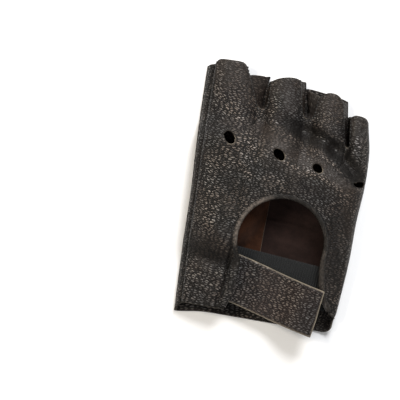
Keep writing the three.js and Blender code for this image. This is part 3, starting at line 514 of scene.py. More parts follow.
def vertex_normals(points, faces):
    """Unit normals of points, from faces of three or four corners, -1 marking a missing fourth."""
    normals = np.zeros_like(points)
    fourth = np.where(faces[:, 3] < 0, faces[:, 0], faces[:, 3])
    face = np.cross(points[faces[:, 2]] - points[faces[:, 0]], points[fourth] - points[faces[:, 1]])
    for k in range(3):
        np.add.at(normals, faces[:, k], face)
    four = faces[:, 3] >= 0
    np.add.at(normals, faces[four, 3], face[four])
    return unit(normals)


def border_edges(faces):
    """The edges that only one face uses, in that face's direction."""
    edges = {}
    for face in faces.tolist():
        ring = face if face[3] >= 0 else face[:3]
        for a, b in zip(ring, ring[1:] + ring[:1]):
            if (b, a) in edges:
                del edges[(b, a)]
            else:
                edges[(a, b)] = True
    return np.array(list(edges), int).reshape(-1, 2)


def tidy_points(points, faces, extra=None):
    """Drops the points that no face uses."""
    used = np.unique(faces[faces >= 0])
    renumber = np.full(len(points) + 1, -1)
    renumber[used] = np.arange(len(used))
    faces = np.where(faces >= 0, renumber[faces], -1)
    return points[used], faces, {name: values[used] for name, values in (extra or {}).items()}


def nearest_tree(points):
    tree = KDTree(len(points))
    for k, point in enumerate(points.tolist()):
        tree.insert(point, k)
    tree.balance()
    return tree


# A wall's edge: depths through the wall, and how far the edge stands out there (mm).
RAW_EDGE = ((0.2, 0.14), (0.5, 0.2), (0.8, 0.12))
TWO_LAYERS = (
    (0.05, 0.3), (0.16, 0.5), (0.4, 0.52), (0.48, 0.2), (0.54, -0.1), (0.62, 0.3), (0.78, 0.45), (0.92, 0.35),
)
ROUNDED_WITHIN = 0.7  # the outer face falls to its edge over this distance
WORN_WITHIN = 1.1


def closed_sheet(points, faces, thickness, rim=RAW_EDGE, rounding=0.3, extra=None, normals=None, wear_and_glint=None):
    """A sheet as a closed wall that reaches a thickness in from its outer points. Returns points, faces,
    each face's kind (0 outer, 1 inner, 2 raw edge), and the values kept for each point, with wear near an
    edge. wear_and_glint(points) says how pale an edge is there: worn pale, and round the back's knuckle holes
    also a painted highlight."""
    points, faces, extra = tidy_points(points, faces, extra)
    if normals is None:
        normals = vertex_normals(points, faces)
    border = border_edges(faces)
    edge = np.unique(border)
    near = nearest_tree(points[edge])
    away = np.array([near.find(point)[2] for point in points.tolist()])
    drop = rounding * np.exp(-((away / ROUNDED_WITHIN) ** 2))
    inner = points - normals * np.broadcast_to(np.asarray(thickness, float), away.shape)[:, None]
    outer = points - normals * drop[:, None]
    out = np.cross(points[border[:, 1]] - points[border[:, 0]], normals[border[:, 0]])
    sideways = np.zeros_like(points)
    for end in (0, 1):
        np.add.at(sideways, border[:, end], out)
    sideways = unit(sideways[edge])
    rings = [mix(outer[edge], inner[edge], depth) + sideways * stand for depth, stand in rim]
    n, m = len(points), len(edge)
    numbers = [edge, *(2 * n + m * k + np.arange(m) for k in range(len(rim))), edge + n]
    p, q = np.searchsorted(edge, border).T
    rim_faces = [np.stack([a[q], a[p], b[p], b[q]], axis=1) for a, b in zip(numbers, numbers[1:])]
    back = flipped(faces)
    faces = np.concatenate([faces, np.where(back >= 0, back + n, -1), *rim_faces])
    kinds = np.repeat([0, 1, 2], [len(back), len(back), len(faces) - 2 * len(back)])
    scale = np.ones(n) if wear_and_glint is None else wear_and_glint(points)
    wear = np.exp(-away / WORN_WITHIN) * scale
    values = {"wear": np.concatenate([wear, wear, np.tile(scale[edge], len(rim))])}
    for name, kept in extra.items():
        values[name] = np.concatenate([kept, kept, np.zeros(m * len(rim))])
    return np.concatenate([outer, inner, *rings]), faces, kinds, values


def laid_flat(points, across=1, finger=None):
    """Places of a grid of points as if the leather lay flat: run along its rows and along its columns, mm.
    Past the body each finger's rows run out from its own middle."""
    runs = []
    for axis in (1, 0):
        run = np.cumsum(np.linalg.norm(np.diff(points, axis=axis), axis=2), axis=axis)
        first = np.zeros_like(np.take(run, [0], axis=axis))
        runs.append(np.concatenate([first, run], axis=axis))
    u, v = runs
    u = u + points[:, :1, 0] * across
    for f in range(4 if finger is not None else 0):
        columns = np.nonzero(finger == f)[0]
        middle = columns[0] if f == 3 else columns[len(columns) // 2]
        past = u[LAST_BODY_ROW:, columns] - u[LAST_BODY_ROW:, middle][:, None]
        u[LAST_BODY_ROW:, columns] = u[LAST_BODY_ROW, middle] + past
    return {"lay_u": u.reshape(-1), "lay_v": v.reshape(-1)}


def linked(name, data):
    """An object in the scene."""
    item = bpy.data.objects.new(name, data)
    bpy.context.scene.collection.objects.link(item)
    return item


def new_piece(name, points, faces, kinds, values, materials, sharp=50):
    """A mesh object from points in the glove's frame and millimetres."""
    mesh = bpy.data.meshes.new(name)
    placed = (points + SHIFT) * MM
    mesh.from_pydata(placed.tolist(), [], [f if f[3] >= 0 else f[:3] for f in faces.tolist()])
    mesh.update()
    for material in materials:
        mesh.materials.append(material)
    mesh.polygons.foreach_set("material_index", np.asarray(kinds, np.int32))
    for key, kept in {"lay_u": points[:, 0], "lay_v": points[:, 1], **values}.items():
        attribute = mesh.attributes.new(key, "FLOAT", "POINT")
        attribute.data.foreach_set("value", np.asarray(kept, np.float32))
    mesh.polygons.foreach_set("use_smooth", np.ones(len(mesh.polygons), bool))
    mesh.set_sharp_from_angle(angle=math.radians(sharp))
    return linked(name, mesh)


def fit(piece, slot, *nodes):
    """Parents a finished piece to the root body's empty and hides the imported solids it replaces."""
    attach(piece, "root")
    if nodes:
        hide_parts(*nodes)


# The grids of the back and the palm


def spaced(count, ends=0.0):
    """Places from 0 to 1, closer together near both ends."""
    t = np.linspace(0, 1, count + 1)
    return t - ends * np.sin(2 * math.pi * t) / (2 * math.pi)


BACK_SIDE = {
    "key": "back",
    "left": seam_x,
    "right": roll_start_x,
    "hem": lambda across: BACK_HEM * (1 - ease(0.6, 1, across)),
}
PALM_SIDE = {
    "key": "palm",
    "left": palm_x,
    "right": lambda y: roll_end_x(y) - SEAM_GAP,
    "hem": lambda across: -HEM_DROOP * np.exp(-((across * GLOVE_WIDTH / HEM_REACH) ** 2)),
}


def finger_columns(fingers, cells, side):
    """Foot and tip of each column of a grid, finger by finger, with the forks between them."""
    fingers = [dict(zip(FINGER_COLUMNS, row)) for row in fingers]
    fork_y = [share * GLOVE_LENGTH for share in FORKS[side["key"]]]
    fork_half = [(fingers[k + 1]["left"] - fingers[k]["right"]) * GLOVE_WIDTH / 2 for k in range(3)]
    foot = [y + half for y, half in zip(fork_y, fork_half)]

    def place(finger, edge, key, y):
        return float(side[edge](y)) if finger[key] is None else finger[key] * GLOVE_WIDTH

    rows = []
    for f, finger in enumerate(fingers):
        right_y = foot[min(f, 2)]
        left_y = foot[f - 1] if f else right_y
        left = place(finger, "left", "left", left_y)
        right = place(finger, "right", "right", right_y)
        for share in spaced(cells[f], 0.45):
            rolls = side["key"] == "back" and f == 3
            across = share - 1 if rolls else 2 * share - 1
            fall = finger["drop"] * abs(across) ** finger["corner"] + finger["lean"] * (share - 0.5)
            tip_y = (finger["tip"] - fall) * GLOVE_LENGTH
            tip = place(finger, "left", "tip_left", tip_y), place(finger, "right", "tip_right", tip_y)
            tip_x = mix(*tip, share)
            rows.append((f, share, mix(left, right, share), mix(left_y, right_y, share), tip_x, tip_y))
        if f < 3:
            for share in np.linspace(0, 1, FINE_FORK_CELLS + 1)[1:-1]:
                across = 2 * share - 1
                x = mix(right, fingers[f + 1]["left"] * GLOVE_WIDTH, share)
                y = fork_y[f] + fork_half[f] * (1 - math.sqrt(1 - across * across))
                rows.append((-1, share, x, y, x, y))
    return dict(zip(("finger", "share", "foot_x", "foot_y", "tip_x", "tip_y"), np.array(rows).T))


BODY_SHARES = spaced(FINE_BODY_ROWS, 0.12)
FINGER_SHARES = spaced(FINE_FINGER_ROWS, 0.35)[1:]
ROW_SHARES = np.concatenate([BODY_SHARES, np.ones(len(FINGER_SHARES))])
LAST_BODY_ROW = FINE_BODY_ROWS


def lay_columns(columns, side):
    """x and y of every row and column."""
    foot_x, foot_y = columns["foot_x"], columns["foot_y"]
    foot_left = side["left"](foot_y)
    across = (foot_x - foot_left) / (side["right"](foot_y) - foot_left)
    body_y = mix(side["hem"](across)[None, :], foot_y[None, :], BODY_SHARES[:, None])
    body_x = mix(side["left"](body_y), side["right"](body_y), across[None, :])
    t = FINGER_SHARES[:, None]
    finger_x, finger_y = mix(foot_x, columns["tip_x"], t), mix(foot_y, columns["tip_y"], t)
    return np.concatenate([body_x, finger_x]), np.concatenate([body_y, finger_y])


def grid_faces(shape, finger):
    """Faces of the grid. Past the body no face joins two fingers or fills a fork."""
    joined = np.tile((finger[:-1] == finger[1:]) & (finger[:-1] >= 0), shape[0] - 1)
    row = np.repeat(np.arange(shape[0] - 1), shape[1] - 1)
    return quads(numbered(shape))[(row < LAST_BODY_ROW) | joined]


def grid_facts(points, faces, whole, finger, share, count, **more):
    """A grid with its normals, taken before it was cut, and its under face."""
    flat = points.reshape(-1, 3)
    normals = vertex_normals(flat, whole)
    return {
        "points": flat, "faces": faces, "normals": normals, "under": flat - normals * LEATHER,
        "grid": numbered(points.shape[:2]), "finger": finger, "share": share, "count": count, **more,
    }


def outline_facts(x, y, outline):
    """For many points: distance to a closed outline, the nearest point on it, and which lie inside."""
    best = np.full(x.shape, np.inf)
    near_x = x.copy()
    near_y = y.copy()
    inside = np.zeros(x.shape, bool)
    for (ax, ay), (bx, by) in zip(outline, np.roll(outline, -1, axis=0)):
        dx, dy = bx - ax, by - ay
        t = np.clip(((x - ax) * dx + (y - ay) * dy) / max(1e-12, dx**2 + dy**2), 0, 1)
        px, py = ax + t * dx, ay + t * dy
        away = np.hypot(x - px, y - py)
        closer = away < best
        best = np.where(closer, away, best)
        near_x = np.where(closer, px, near_x)
        near_y = np.where(closer, py, near_y)
        if ay != by:
            inside ^= ((ay > y) != (by > y)) & (x < ax + (y - ay) / (by - ay) * dx)
    return best, near_x, near_y, inside


def snap_to(x, y, state, outline, allowed=True):
    """Moves points close to an outline on to it, and marks those inside it -1 and those on it 0."""
    low = outline.min(axis=0) - 2
    high = outline.max(axis=0) + 2
    pick = allowed & (x > low[0]) & (x < high[0]) & (y > low[1]) & (y < high[1])
    away, near_x, near_y, inside = outline_facts(x[pick], y[pick], outline)
    snapped = away < SNAP
    x[pick] = np.where(snapped, near_x, x[pick])
    y[pick] = np.where(snapped, near_y, y[pick])
    state[pick] = np.where(snapped, np.minimum(state[pick], 0), np.where(inside, -1, state[pick]))


def cut_faces(faces, state, centre_outside=False):
    """Keeps what lies outside the cuts, with a corner dropped where a cell straddles an outline."""
    corner = state[faces]
    some_out = (corner > 0).any(axis=1)
    whole = (corner >= 0).all(axis=1) & (some_out | centre_outside)
    part = faces[((corner < 0).sum(axis=1) == 1) & some_out]
    triangles = [[p for p in face if state[p] >= 0] + [-1] for face in part.tolist()]
    return np.concatenate([faces[whole], np.array(triangles, int).reshape(-1, 4)])


def ellipse_outline(x, y, half_short, half_long, turn, sides=64):
    a = np.linspace(0, 2 * math.pi, sides, endpoint=False)
    u, v = half_short * np.cos(a), half_long * np.sin(a)
    c, s = math.cos(turn), math.sin(turn)
    return np.stack([x + u * c - v * s, y + u * s + v * c], axis=1)


def root_hole():
    """Outline of the hole between the palm and the thumb."""
    half = ROOT_HOLE["half_width"] * THUMB_WIDTH, ROOT_HOLE["half_length"] * THUMB_LENGTH
    return ellipse_outline(THUMB_X, THUMB_ROOT_Y + ROOT_HOLE["along"] * THUMB_LENGTH, *half, 0)


def cut_root_hole(points, faces, allowed=True):
    """Moves points on to the hole's outline, and returns the faces outside it."""
    x, y = points[:, 0].copy(), points[:, 1].copy()
    state = np.ones(len(points), int)
    snap_to(x, y, state, root_hole(), allowed)
    points[:, 0], points[:, 1] = x, y
    return cut_faces(faces, state)


WINDOW_X = WINDOW["x"] * GLOVE_WIDTH
WINDOW_Y = WINDOW["y"] * GLOVE_LENGTH


def catmull(points, steps):
    """Centripetal spline through points, steps places after the first."""
    points = [np.array(p, float) for p in points]
    out = []
    last = len(points) - 1
    for k in range(steps):
        u = (k + 1) / steps * last
        i = min(int(u), last - 1)
        w = u - i
        p1, p2 = points[i], points[i + 1]
        p0 = points[i - 1] if i > 0 else 2 * p1 - p2
        p3 = points[i + 2] if i + 2 <= last else 2 * p2 - p1
        t0, t1, t2 = (max(1e-4, np.linalg.norm(b - a) ** 0.5) for a, b in ((p0, p1), (p1, p2), (p2, p3)))
        m1 = ((p1 - p0) / t0 - (p2 - p0) / (t0 + t1) + (p2 - p1) / t1) * t1
        m2 = ((p2 - p1) / t1 - (p3 - p1) / (t1 + t2) + (p3 - p2) / t2) * t1
        c2 = -3 * p1 + 3 * p2 - 2 * m1 - m2
        c3 = 2 * p1 - 2 * p2 + m1 + m2
        out.append(p1 + m1 * w + c2 * w * w + c3 * w**3)
    return out


def window_line(arc_steps, leg_steps):
    """The window's edge from the left hem round the arch to the right side: x, y, flange."""

    def place(u, v, flange=1):
        return (WINDOW_X + u * WINDOW_RADIUS, WINDOW_Y + v * WINDOW_RADIUS, flange * BINDING_FLANGE)

    def arc_point(degrees):
        return place(math.cos(math.radians(degrees)), math.sin(math.radians(degrees)))

    left = catmull([arc_point(WINDOW["to"])] + [place(*row) for row in LEFT_LEG], leg_steps)[::-1]
    arch = [arc_point(mix(WINDOW["to"], WINDOW["from"], k / arc_steps)) for k in range(arc_steps + 1)]
    right = catmull([arc_point(WINDOW["from"])] + [place(*row) for row in RIGHT_LEG], leg_steps)
    return np.array([*left, *arch, *right])


def window_outline():
    line = window_line(120, 40)
    below = [
        (GLOVE_WIDTH, line[-1][1] - 2.1 * WINDOW_RADIUS),
        (GLOVE_WIDTH, -GLOVE_WIDTH),
        (line[0][0] - 0.05 * WINDOW_RADIUS, -GLOVE_WIDTH),
    ]
    return np.concatenate([line[:, :2], np.array(below)])


def cut_side_hole(points, state):
    """Opens the hole on the roll, square to a tilted axis. points and state are the roll's columns."""
    hole_y = SIDE_HOLE["y"] * GLOVE_LENGTH
    c, s = math.cos(math.radians(SIDE_HOLE["tilt"])), math.sin(math.radians(SIDE_HOLE["tilt"]))
    dx = points[..., 0] - float(roll_start_x(hole_y) + SIDE_HOLE["out"] * roll_width(hole_y))
    dz = points[..., 2] - float(ROLL_MIDDLE * crown_height(hole_y))
    q, dy = dx * c - dz * s, points[..., 1] - hole_y
    half_q, half_y = (SIDE_HOLE[key] * GLOVE_WIDTH / 2 for key in ("short", "long"))
    rho = np.maximum(1e-6, np.hypot(q / half_q, dy / half_y))
    facing = dx * s + dz * c > 0
    near = facing & (np.abs(rho - 1) * min(half_q, half_y) < SNAP)
    tangent = np.gradient(points, axis=1)
    tangent[..., 1] = 0
    stretch = np.where(near, 1 / rho - 1, 0)
    points += unit(tangent) * (q * stretch)[..., None]
    points[..., 1] += dy * stretch
    state[near] = 0
    state[facing & (rho < 1) & ~near] = -1


@functools.cache
def back_grid():
    """The back's outer face."""
    columns = finger_columns(BACK_FINGERS, FINE_BACK_CELLS, BACK_SIDE)
    x, y = lay_columns(columns, BACK_SIDE)
    count = x.shape[1]
    roll = FINE_ROLL_CELLS
    # Columns of the roll: the upper half runs out to the side, the lower half back in to the palm.
    step = np.arange(1, 2 * roll + 1) / roll
    angle = step * (math.pi / 2)
    past = np.concatenate([np.zeros(LAST_BODY_ROW + 1), FINGER_SHARES])
    drop = BACK_FINGERS[3][FINGER_COLUMNS.index("drop")]
    roll_y = y[:, -1:] - past[:, None] * drop * GLOVE_LENGTH * np.minimum(1, step)[None, :] ** 2
    out = np.sin(np.minimum(angle, math.pi / 2))[None, :] ** (2 / ROLL_POWER)
    top_x = roll_start_x(roll_y) + roll_width(roll_y) * out
    under_x = mix(roll_end_x(roll_y), side_x(roll_y), np.abs(np.sin(angle))[None, :] ** (2 / ROLL_POWER))
    x = np.concatenate([x, np.where((step <= 1)[None, :], top_x, under_x)], axis=1)
    y = np.concatenate([y, roll_y], axis=1)
    finger = np.concatenate([columns["finger"], np.full(2 * roll, 3.0)])
    share = np.concatenate([columns["share"], np.ones(2 * roll)])

    # The cuts, in plan. Only columns out to the side are cut.
    state = np.ones(x.shape, int)
    column = np.arange(x.shape[1])[None, :]
    upper = np.broadcast_to(column < count + roll, x.shape)
    snap_to(x, y, state, window_outline(), upper)
    for hx, hy, long, short, turn in KNUCKLE_HOLES:
        half = GLOVE_WIDTH / 2
        oval = short * half, long * half, math.radians(turn)
        snap_to(x, y, state, ellipse_outline(hx * GLOVE_WIDTH, hy * GLOVE_LENGTH, *oval), upper)

    # The single dome parts in an arch for each finger, later towards the little finger.
    line = KNUCKLE_LINE + 0.2 * ease(22, 36, x)
    blend = ease(0, 1, (ROW_SHARES[:, None] - line) / (1 - line))
    crown, edge = crown_height(y), seam_height(y)
    little = (finger == 3)[None, :]
    arch_crown = crown * np.where(little, 1 - SIDE_DROP, 1)
    arch_out = np.where(little, 1 - share[None, :], 2 * share[None, :] - 1)
    arch = arch_crown - (arch_crown - edge) * power_of(arch_out, DOME_POWER)
    arch = np.where((finger < 0)[None, :], edge, arch)
    folds = fold_height(x, y)
    detail = crease_height(x, y) + rim_height(x, y)
    z = mix(dome_height(x, y), arch, blend) + back_lift(x, y) + folds + detail
    out_here = np.clip((x - roll_start_x(y)) / roll_width(y), 0, 1)
    z = np.where((column >= count) & upper, rolled_height(z, y, out_here), z)
    turned_in = np.abs(np.cos(angle[roll:])) ** (2 / ROLL_POWER)
    inward = np.concatenate([np.ones(count + roll), turned_in])[None, :]
    z = np.where(upper, z, ROLL_MIDDLE * crown_height(y) * (1 - inward))
    points = np.stack([x, y, z], axis=2)
    cut_side_hole(points[:, count:], state[:, count:])

    faces = grid_faces(x.shape, finger)
    centre = points.reshape(-1, 3)[faces].mean(axis=1)
    in_window = outline_facts(centre[:, 0], centre[:, 1], window_outline())[3]
    kept = cut_faces(faces, state.reshape(-1), ~in_window)
    return grid_facts(points, kept, faces, finger, share, count, crease=(folds + detail).reshape(-1))


@functools.cache
def palm_grid():
    """The palm's outer face."""
    columns = finger_columns(PALM_FINGERS, FINE_PALM_CELLS, PALM_SIDE)
    x, y = lay_columns(columns, PALM_SIDE)
    state = np.ones(x.shape, int)
    snap_to(x, y, state, root_hole())
    lift = palm_height(x, y)
    z = np.maximum(lift + ease(0, 3, lift) * 0.25 * lattice_noise(x, y, 9, 21) * 0.6, 0)
    faces = grid_faces(x.shape, columns["finger"])
    kept = flipped(cut_faces(faces, state.reshape(-1)))
    points = np.stack([x, y, z], axis=2)
    return grid_facts(points, kept, faces[:, ::-1], columns["finger"], columns["share"], x.shape[1])


LEAN = 3.2  # how far in a sunk strip's upper edge leans, for each mm that it is sunk
REACH = 4.2  # and how far up it reaches into the groove
STRIP_CELLS = 12


def strip_sheet(stations, bulge, close=0.25, low_bulge=1.0, rounding=0.0, stand=0.0, sink=0.0, pale=0.1):
    """A strip of leather that stands between two edges. stations is (top, bottom, inwards), arrays.
    low_bulge above 1 moves the bulge down, rounding takes off the corners at both ends, stand carries
    the last end's upper corner further, sink lowers the upper edge into the groove under the back, and
    pale says how rubbed the cut edges are."""
    top, bottom, inwards = stations
    top = top + np.array([0, 0, close + REACH * sink])
    bottom = bottom - np.array([0, 0, close])
    fall = top[:, 2] - bottom[:, 2]
    run = ((top - bottom) * inwards).sum(axis=1)
    thick = LEATHER * np.clip(np.hypot(run, fall) / fall, 1, 1.7)
    shares = np.linspace(0, 1, STRIP_CELLS + 1)
    out = SEAM_INSET - bulge * np.sin(math.pi * shares**low_bulge) + LEAN * sink * (1 - shares) ** 4
    points = mix(top[:, None], bottom[:, None], shares[None, :, None]) + inwards[:, None] * out[None, :, None]
    ripple = 0.1 * np.sin(run_along(top) * 2 * math.pi / 3.1)[:, None] * np.abs(2 * shares - 1)[None, :] ** 2
    points = points + inwards[:, None] * ripple[..., None]
    points[..., 2] -= sink * (1 - shares)[None, :] ** 8
    for k, share in enumerate(shares if rounding or stand else ()):
        line = points[:, k]
        away = run_along(line)
        off = rounding * abs(2 * share - 1) ** 5
        places = mix(off, away[-1] - off + stand * (1 - share) ** 1.5, away / away[-1])
        end = (line[-1] - line[-4]) / (away[-1] - away[-4])
        points[:, k] = read_at(places, away, line) + np.maximum(0, places - away[-1])[:, None] * end
    faces = quads(numbered(points.shape[:2]))
    flat = points.reshape(-1, 3)
    wanted = -np.repeat(inwards, STRIP_CELLS + 1, axis=0)
    if (vertex_normals(flat, faces) * wanted).sum() < 0:
        faces = faces[:, ::-1].copy()
    # seam: a sunk strip's upper edge, in the groove under the back, painted darker as shade.
    marks = {
        "seam": np.tile(np.exp(-shares * 6) if sink else 0 * shares, len(top)),
        "calm": np.full(len(flat), 0.0 if sink else 0.55), **laid_flat(points, 0),
    }
    return closed_sheet(
        flat, faces, np.repeat(thick, STRIP_CELLS + 1), normals=wanted, rounding=0.15, extra=marks,
        wear_and_glint=lambda p: np.full(len(p), pale),
    )


def stations_along(back_points, palm_points):
    """Where a strip stands between two edges: its top, its bottom and the way inwards."""
    top = back_points - np.array([0, 0, SEAM_GAP])
    tangent = np.gradient(top, axis=0)
    tangent[:, 2] = 0
    tangent = unit(tangent)
    inwards = np.stack([tangent[:, 1], -tangent[:, 0], np.zeros(len(tangent))], axis=1)
    return top, palm_points + np.array([0, 0, SEAM_GAP]), inwards


def fork_sides(grid, f):
    """The columns on either side of a fork."""
    finger = grid["finger"]
    return int(np.max(np.nonzero(finger[: grid["count"]] == f))), int(np.min(np.nonzero(finger == f + 1)))


def fork_edge(grid, f, before=1.0, after=1.0):
    """Points of the under face round one fork: down one finger's edge, across the fork's foot and up the
    next finger's, each edge as far as a share of its length."""
    right, left = fork_sides(grid, f)
    ids = grid["grid"][LAST_BODY_ROW:]

    def edge(column, share):
        places = np.arange(len(ids))
        return read_at(places * share, places, grid["under"][ids[:, column]])

    foot = grid["under"][ids[0, right + 1 : left]]
    return np.concatenate([edge(right, before)[::-1], foot, edge(left, after)])


# Node trees


class Nodes:
    """Adds nodes to a tree. Inputs are given by index or name, as sockets or as plain values."""

    def __init__(self, tree):
        self.tree = tree

    def feed(self, sockets, values):
        for key, value in values.items():
            if isinstance(value, bpy.types.NodeSocket):
                self.tree.links.new(value, sockets[key])
            else:
                sockets[key].default_value = value

    def add(self, kind, inputs=None, **settings):
        """The outputs of a new node."""
        node = self.tree.nodes.new(kind)
        for key, value in settings.items():
            setattr(node, key, value)
        self.feed(node.inputs, inputs or {})
        return node.outputs

    def math(self, operation, *values, clamp=False):
        return self.add("ShaderNodeMath", dict(enumerate(values)), operation=operation, use_clamp=clamp)[0]

    def times(self, first, *others):
        for other in others:
            first = self.math("MULTIPLY", first, other)
        return first

    def plus(self, start, *shares):
        """start, and each value times its factor."""
        for value, factor in shares:
            start = self.math("MULTIPLY_ADD", value, factor, start)
        return start

    def mixed(self, share, one, other):
        return self.add("ShaderNodeMix", {0: share, 6: one, 7: other}, data_type="RGBA")[2]

    def ranged(self, value, low, high, to_low=0.0, to_high=1.0):
        places = {0: value, 1: low, 2: high, 3: to_low, 4: to_high}
        return self.add("ShaderNodeMapRange", places, interpolation_type="SMOOTHSTEP")[0]

    def attribute(self, name):
        return self.add("ShaderNodeAttribute", attribute_name=name)["Fac"]

    def noise(self, place, scale, detail=2.0, roughness=0.5):
        values = {"Vector": place, "Scale": scale, "Detail": detail, "Roughness": roughness}
        return self.add("ShaderNodeTexNoise", values)

    def mapped(self, place, **values):
        return self.add("ShaderNodeMapping", {"Vector": place, **values})[0]

    def bump(self, height):
        return self.add("ShaderNodeBump", {"Height": height, "Strength": 1.0, "Distance": 1.0})[0]

    def vector_math(self, operation, *values):
        return self.add("ShaderNodeVectorMath", dict(enumerate(values)), operation=operation)[0]

    def combined(self, *values):
        return self.add("ShaderNodeCombineXYZ", dict(enumerate(values)))[0]

    def balls(self, points, segments, size, rotation, scale=(1, 1, 1)):
        """A ball at each point, drawn out to a length, width and height."""
        ball = self.add("GeometryNodeMeshUVSphere", {"Segments": segments, "Rings": 6, "Radius": 0.5})
        body = self.add("GeometryNodeTransform", {"Geometry": ball["Mesh"], "Scale": self.combined(*size)})
        copies = {"Points": points, "Instance": body[0], "Rotation": rotation, "Scale": scale}
        return self.add("GeometryNodeInstanceOnPoints", copies)[0]


def once(store):
    """Decorates a maker: what bpy.data already holds under a name isn't made again."""

    def wrap(make):
        @functools.wraps(make)
        def find(name, *given, **named):
            return getattr(bpy.data, store).get(name) or make(name, *given, **named)

        return find

    return wrap


SOCKET_KINDS = {type(None): "NodeSocketVector", tuple: "NodeSocketColor", float: "NodeSocketFloat"}


def new_group(name, inputs, outputs):
    """A shader group. inputs gives each default (none for a vector), outputs an example of each kind."""
    tree = bpy.data.node_groups.new(name, "ShaderNodeTree")
    for label, default in inputs.items():
        socket = tree.interface.new_socket(label, in_out="INPUT", socket_type=SOCKET_KINDS[type(default)])
        if default is not None:
            socket.default_value = default
    for label, example in outputs.items():
        tree.interface.new_socket(label, in_out="OUTPUT", socket_type=SOCKET_KINDS[type(example)])
    nodes = Nodes(tree)
    return nodes, nodes.add("NodeGroupInput"), tree.nodes.new("NodeGroupOutput").inputs


@once("node_groups")
def grain_group(name):
    """Pebbled leather: plump grains between fine furrows, drawn out along slow flow lines, and smoother in
    some places than in others and where the attribute calm says so."""
    inputs = {
        "Place": None, "Grain size mm": 1.6, "Grain depth mm": 0.2, "Unevenness mm": 0.12, "Turn": 0.17,
        "Smooth places": 0.4,
    }
    outputs = {"Normal": None, "Furrow": 0.0, "Top": 0.0, "Patch": 0.0, "Calm": 0.0}
    nodes, given, result = new_group(name, inputs, outputs)

    def noise(*values):
        return nodes.noise(given["Place"], *values)

    def pushed(place, warp, reach):
        centred = nodes.vector_math("SUBTRACT", warp["Color"], (0.5, 0.5, 0.5))
        return nodes.vector_math("MULTIPLY_ADD", centred, (reach, reach, reach), place)

    laid = nodes.combined(nodes.attribute("lay_u"), nodes.attribute("lay_v"))
    drifted = pushed(laid, noise(30.0, 0.0), 5.0)
    waved = pushed(drifted, noise(300.0, 1.0), 1.0)
    stretch = {"Vector": waved, "Rotation": nodes.combined(0, 0, given["Turn"]), "Scale": (2.1, 0.82, 1.0)}
    flow = nodes.add("ShaderNodeMapping", stretch, vector_type="TEXTURE")[0]
    scale = nodes.math("DIVIDE", 1.0, given["Grain size mm"])

    def cells(cell_scale, **values):
        kind = {"feature": "DISTANCE_TO_EDGE", "voronoi_dimensions": "2D"}
        places = {"Vector": flow, "Scale": cell_scale, **values}
        return nodes.add("ShaderNodeTexVoronoi", places, **kind)["Distance"]

    edge = cells(scale, Randomness=0.85)
    hollow = nodes.ranged(edge, 0.0, 0.36, 1.0, 0.0)
    plump = nodes.math("SUBTRACT", 1.0, nodes.times(hollow, hollow))
    furrow = nodes.ranged(cells(nodes.times(scale, 0.31)), 0.0, 0.14)
    mid = noise(850.0, 1.0)[0]
    calm = nodes.times(nodes.ranged(noise(36.0, 2.0)[0], 0.46, 0.62), given["Smooth places"])
    calm = nodes.math("MAXIMUM", calm, nodes.attribute("calm"))
    lively = nodes.math("SUBTRACT", 1.0, calm, clamp=True)
    height = nodes.plus(nodes.times(plump, 0.75), (furrow, 0.35), (mid, 0.5), (noise(2600.0, 2.0)[0], 0.06))
    height = nodes.times(height, nodes.times(given["Grain depth mm"], lively, MM))
    uneven = nodes.times(noise(150.0, 3.0)[0], given["Unevenness mm"], MM)
    open_face = nodes.times(nodes.ranged(edge, 0.1, 0.28), furrow)
    top = nodes.times(nodes.ranged(edge, 0.15, 0.35), furrow)
    nodes.feed(result, {
        "Normal": nodes.bump(nodes.math("ADD", height, uneven)),
        "Furrow": nodes.times(nodes.math("SUBTRACT", 1.0, open_face, clamp=True), lively),
        "Top": nodes.times(top, lively, nodes.ranged(mid, 0.3, 0.7, 0.35, 1.0)),
        "Calm": calm,
        "Patch": nodes.ranged(noise(45.0, 5.0, 0.6)[0], 0.38, 0.62),
    })
    return nodes.tree


@once("node_groups")
def rub_and_crease_shade_group(name):
    """Leather rubbed pale near its edges and along its raised creases, and painted darker in its sunk creases
    as shade.
    """
    inputs = {
        "Place": None, "Colour": (0.03, 0.025, 0.022, 1), "Rubbed": (0.12, 0.1, 0.08, 1),
        "Edge wear and glint": 0.6, "Fold wear": 0.3, "Fold shade": 0.7,
    }
    nodes, given, result = new_group(name, inputs, {"Colour": (), "Wear": 0.0})
    crease = nodes.attribute("crease")
    broken = nodes.ranged(nodes.noise(given["Place"], 520.0, 4.0, 0.65)[0], 0.38, 0.62)
    near = nodes.times(nodes.ranged(nodes.attribute("wear"), 0.35, 1.0), given["Edge wear and glint"])
    raised = nodes.times(nodes.ranged(crease, 0.15, 1.1), given["Fold wear"])
    wear = nodes.math("ADD", near, raised, clamp=True)
    wear = nodes.math("MULTIPLY", wear, nodes.math("MULTIPLY_ADD", broken, 0.65, 0.35), clamp=True)
    # Sunk creases are painted towards near-black: painted shade in the folds.
    crease_shade = nodes.times(nodes.ranged(crease, -0.35, -1.5), given["Fold shade"])
    crease_shaded = nodes.mixed(crease_shade, given["Colour"], (0.002, 0.0016, 0.0014, 1.0))
    nodes.feed(result, {"Colour": nodes.mixed(wear, crease_shaded, given["Rubbed"]), "Wear": wear})
    return nodes.tree


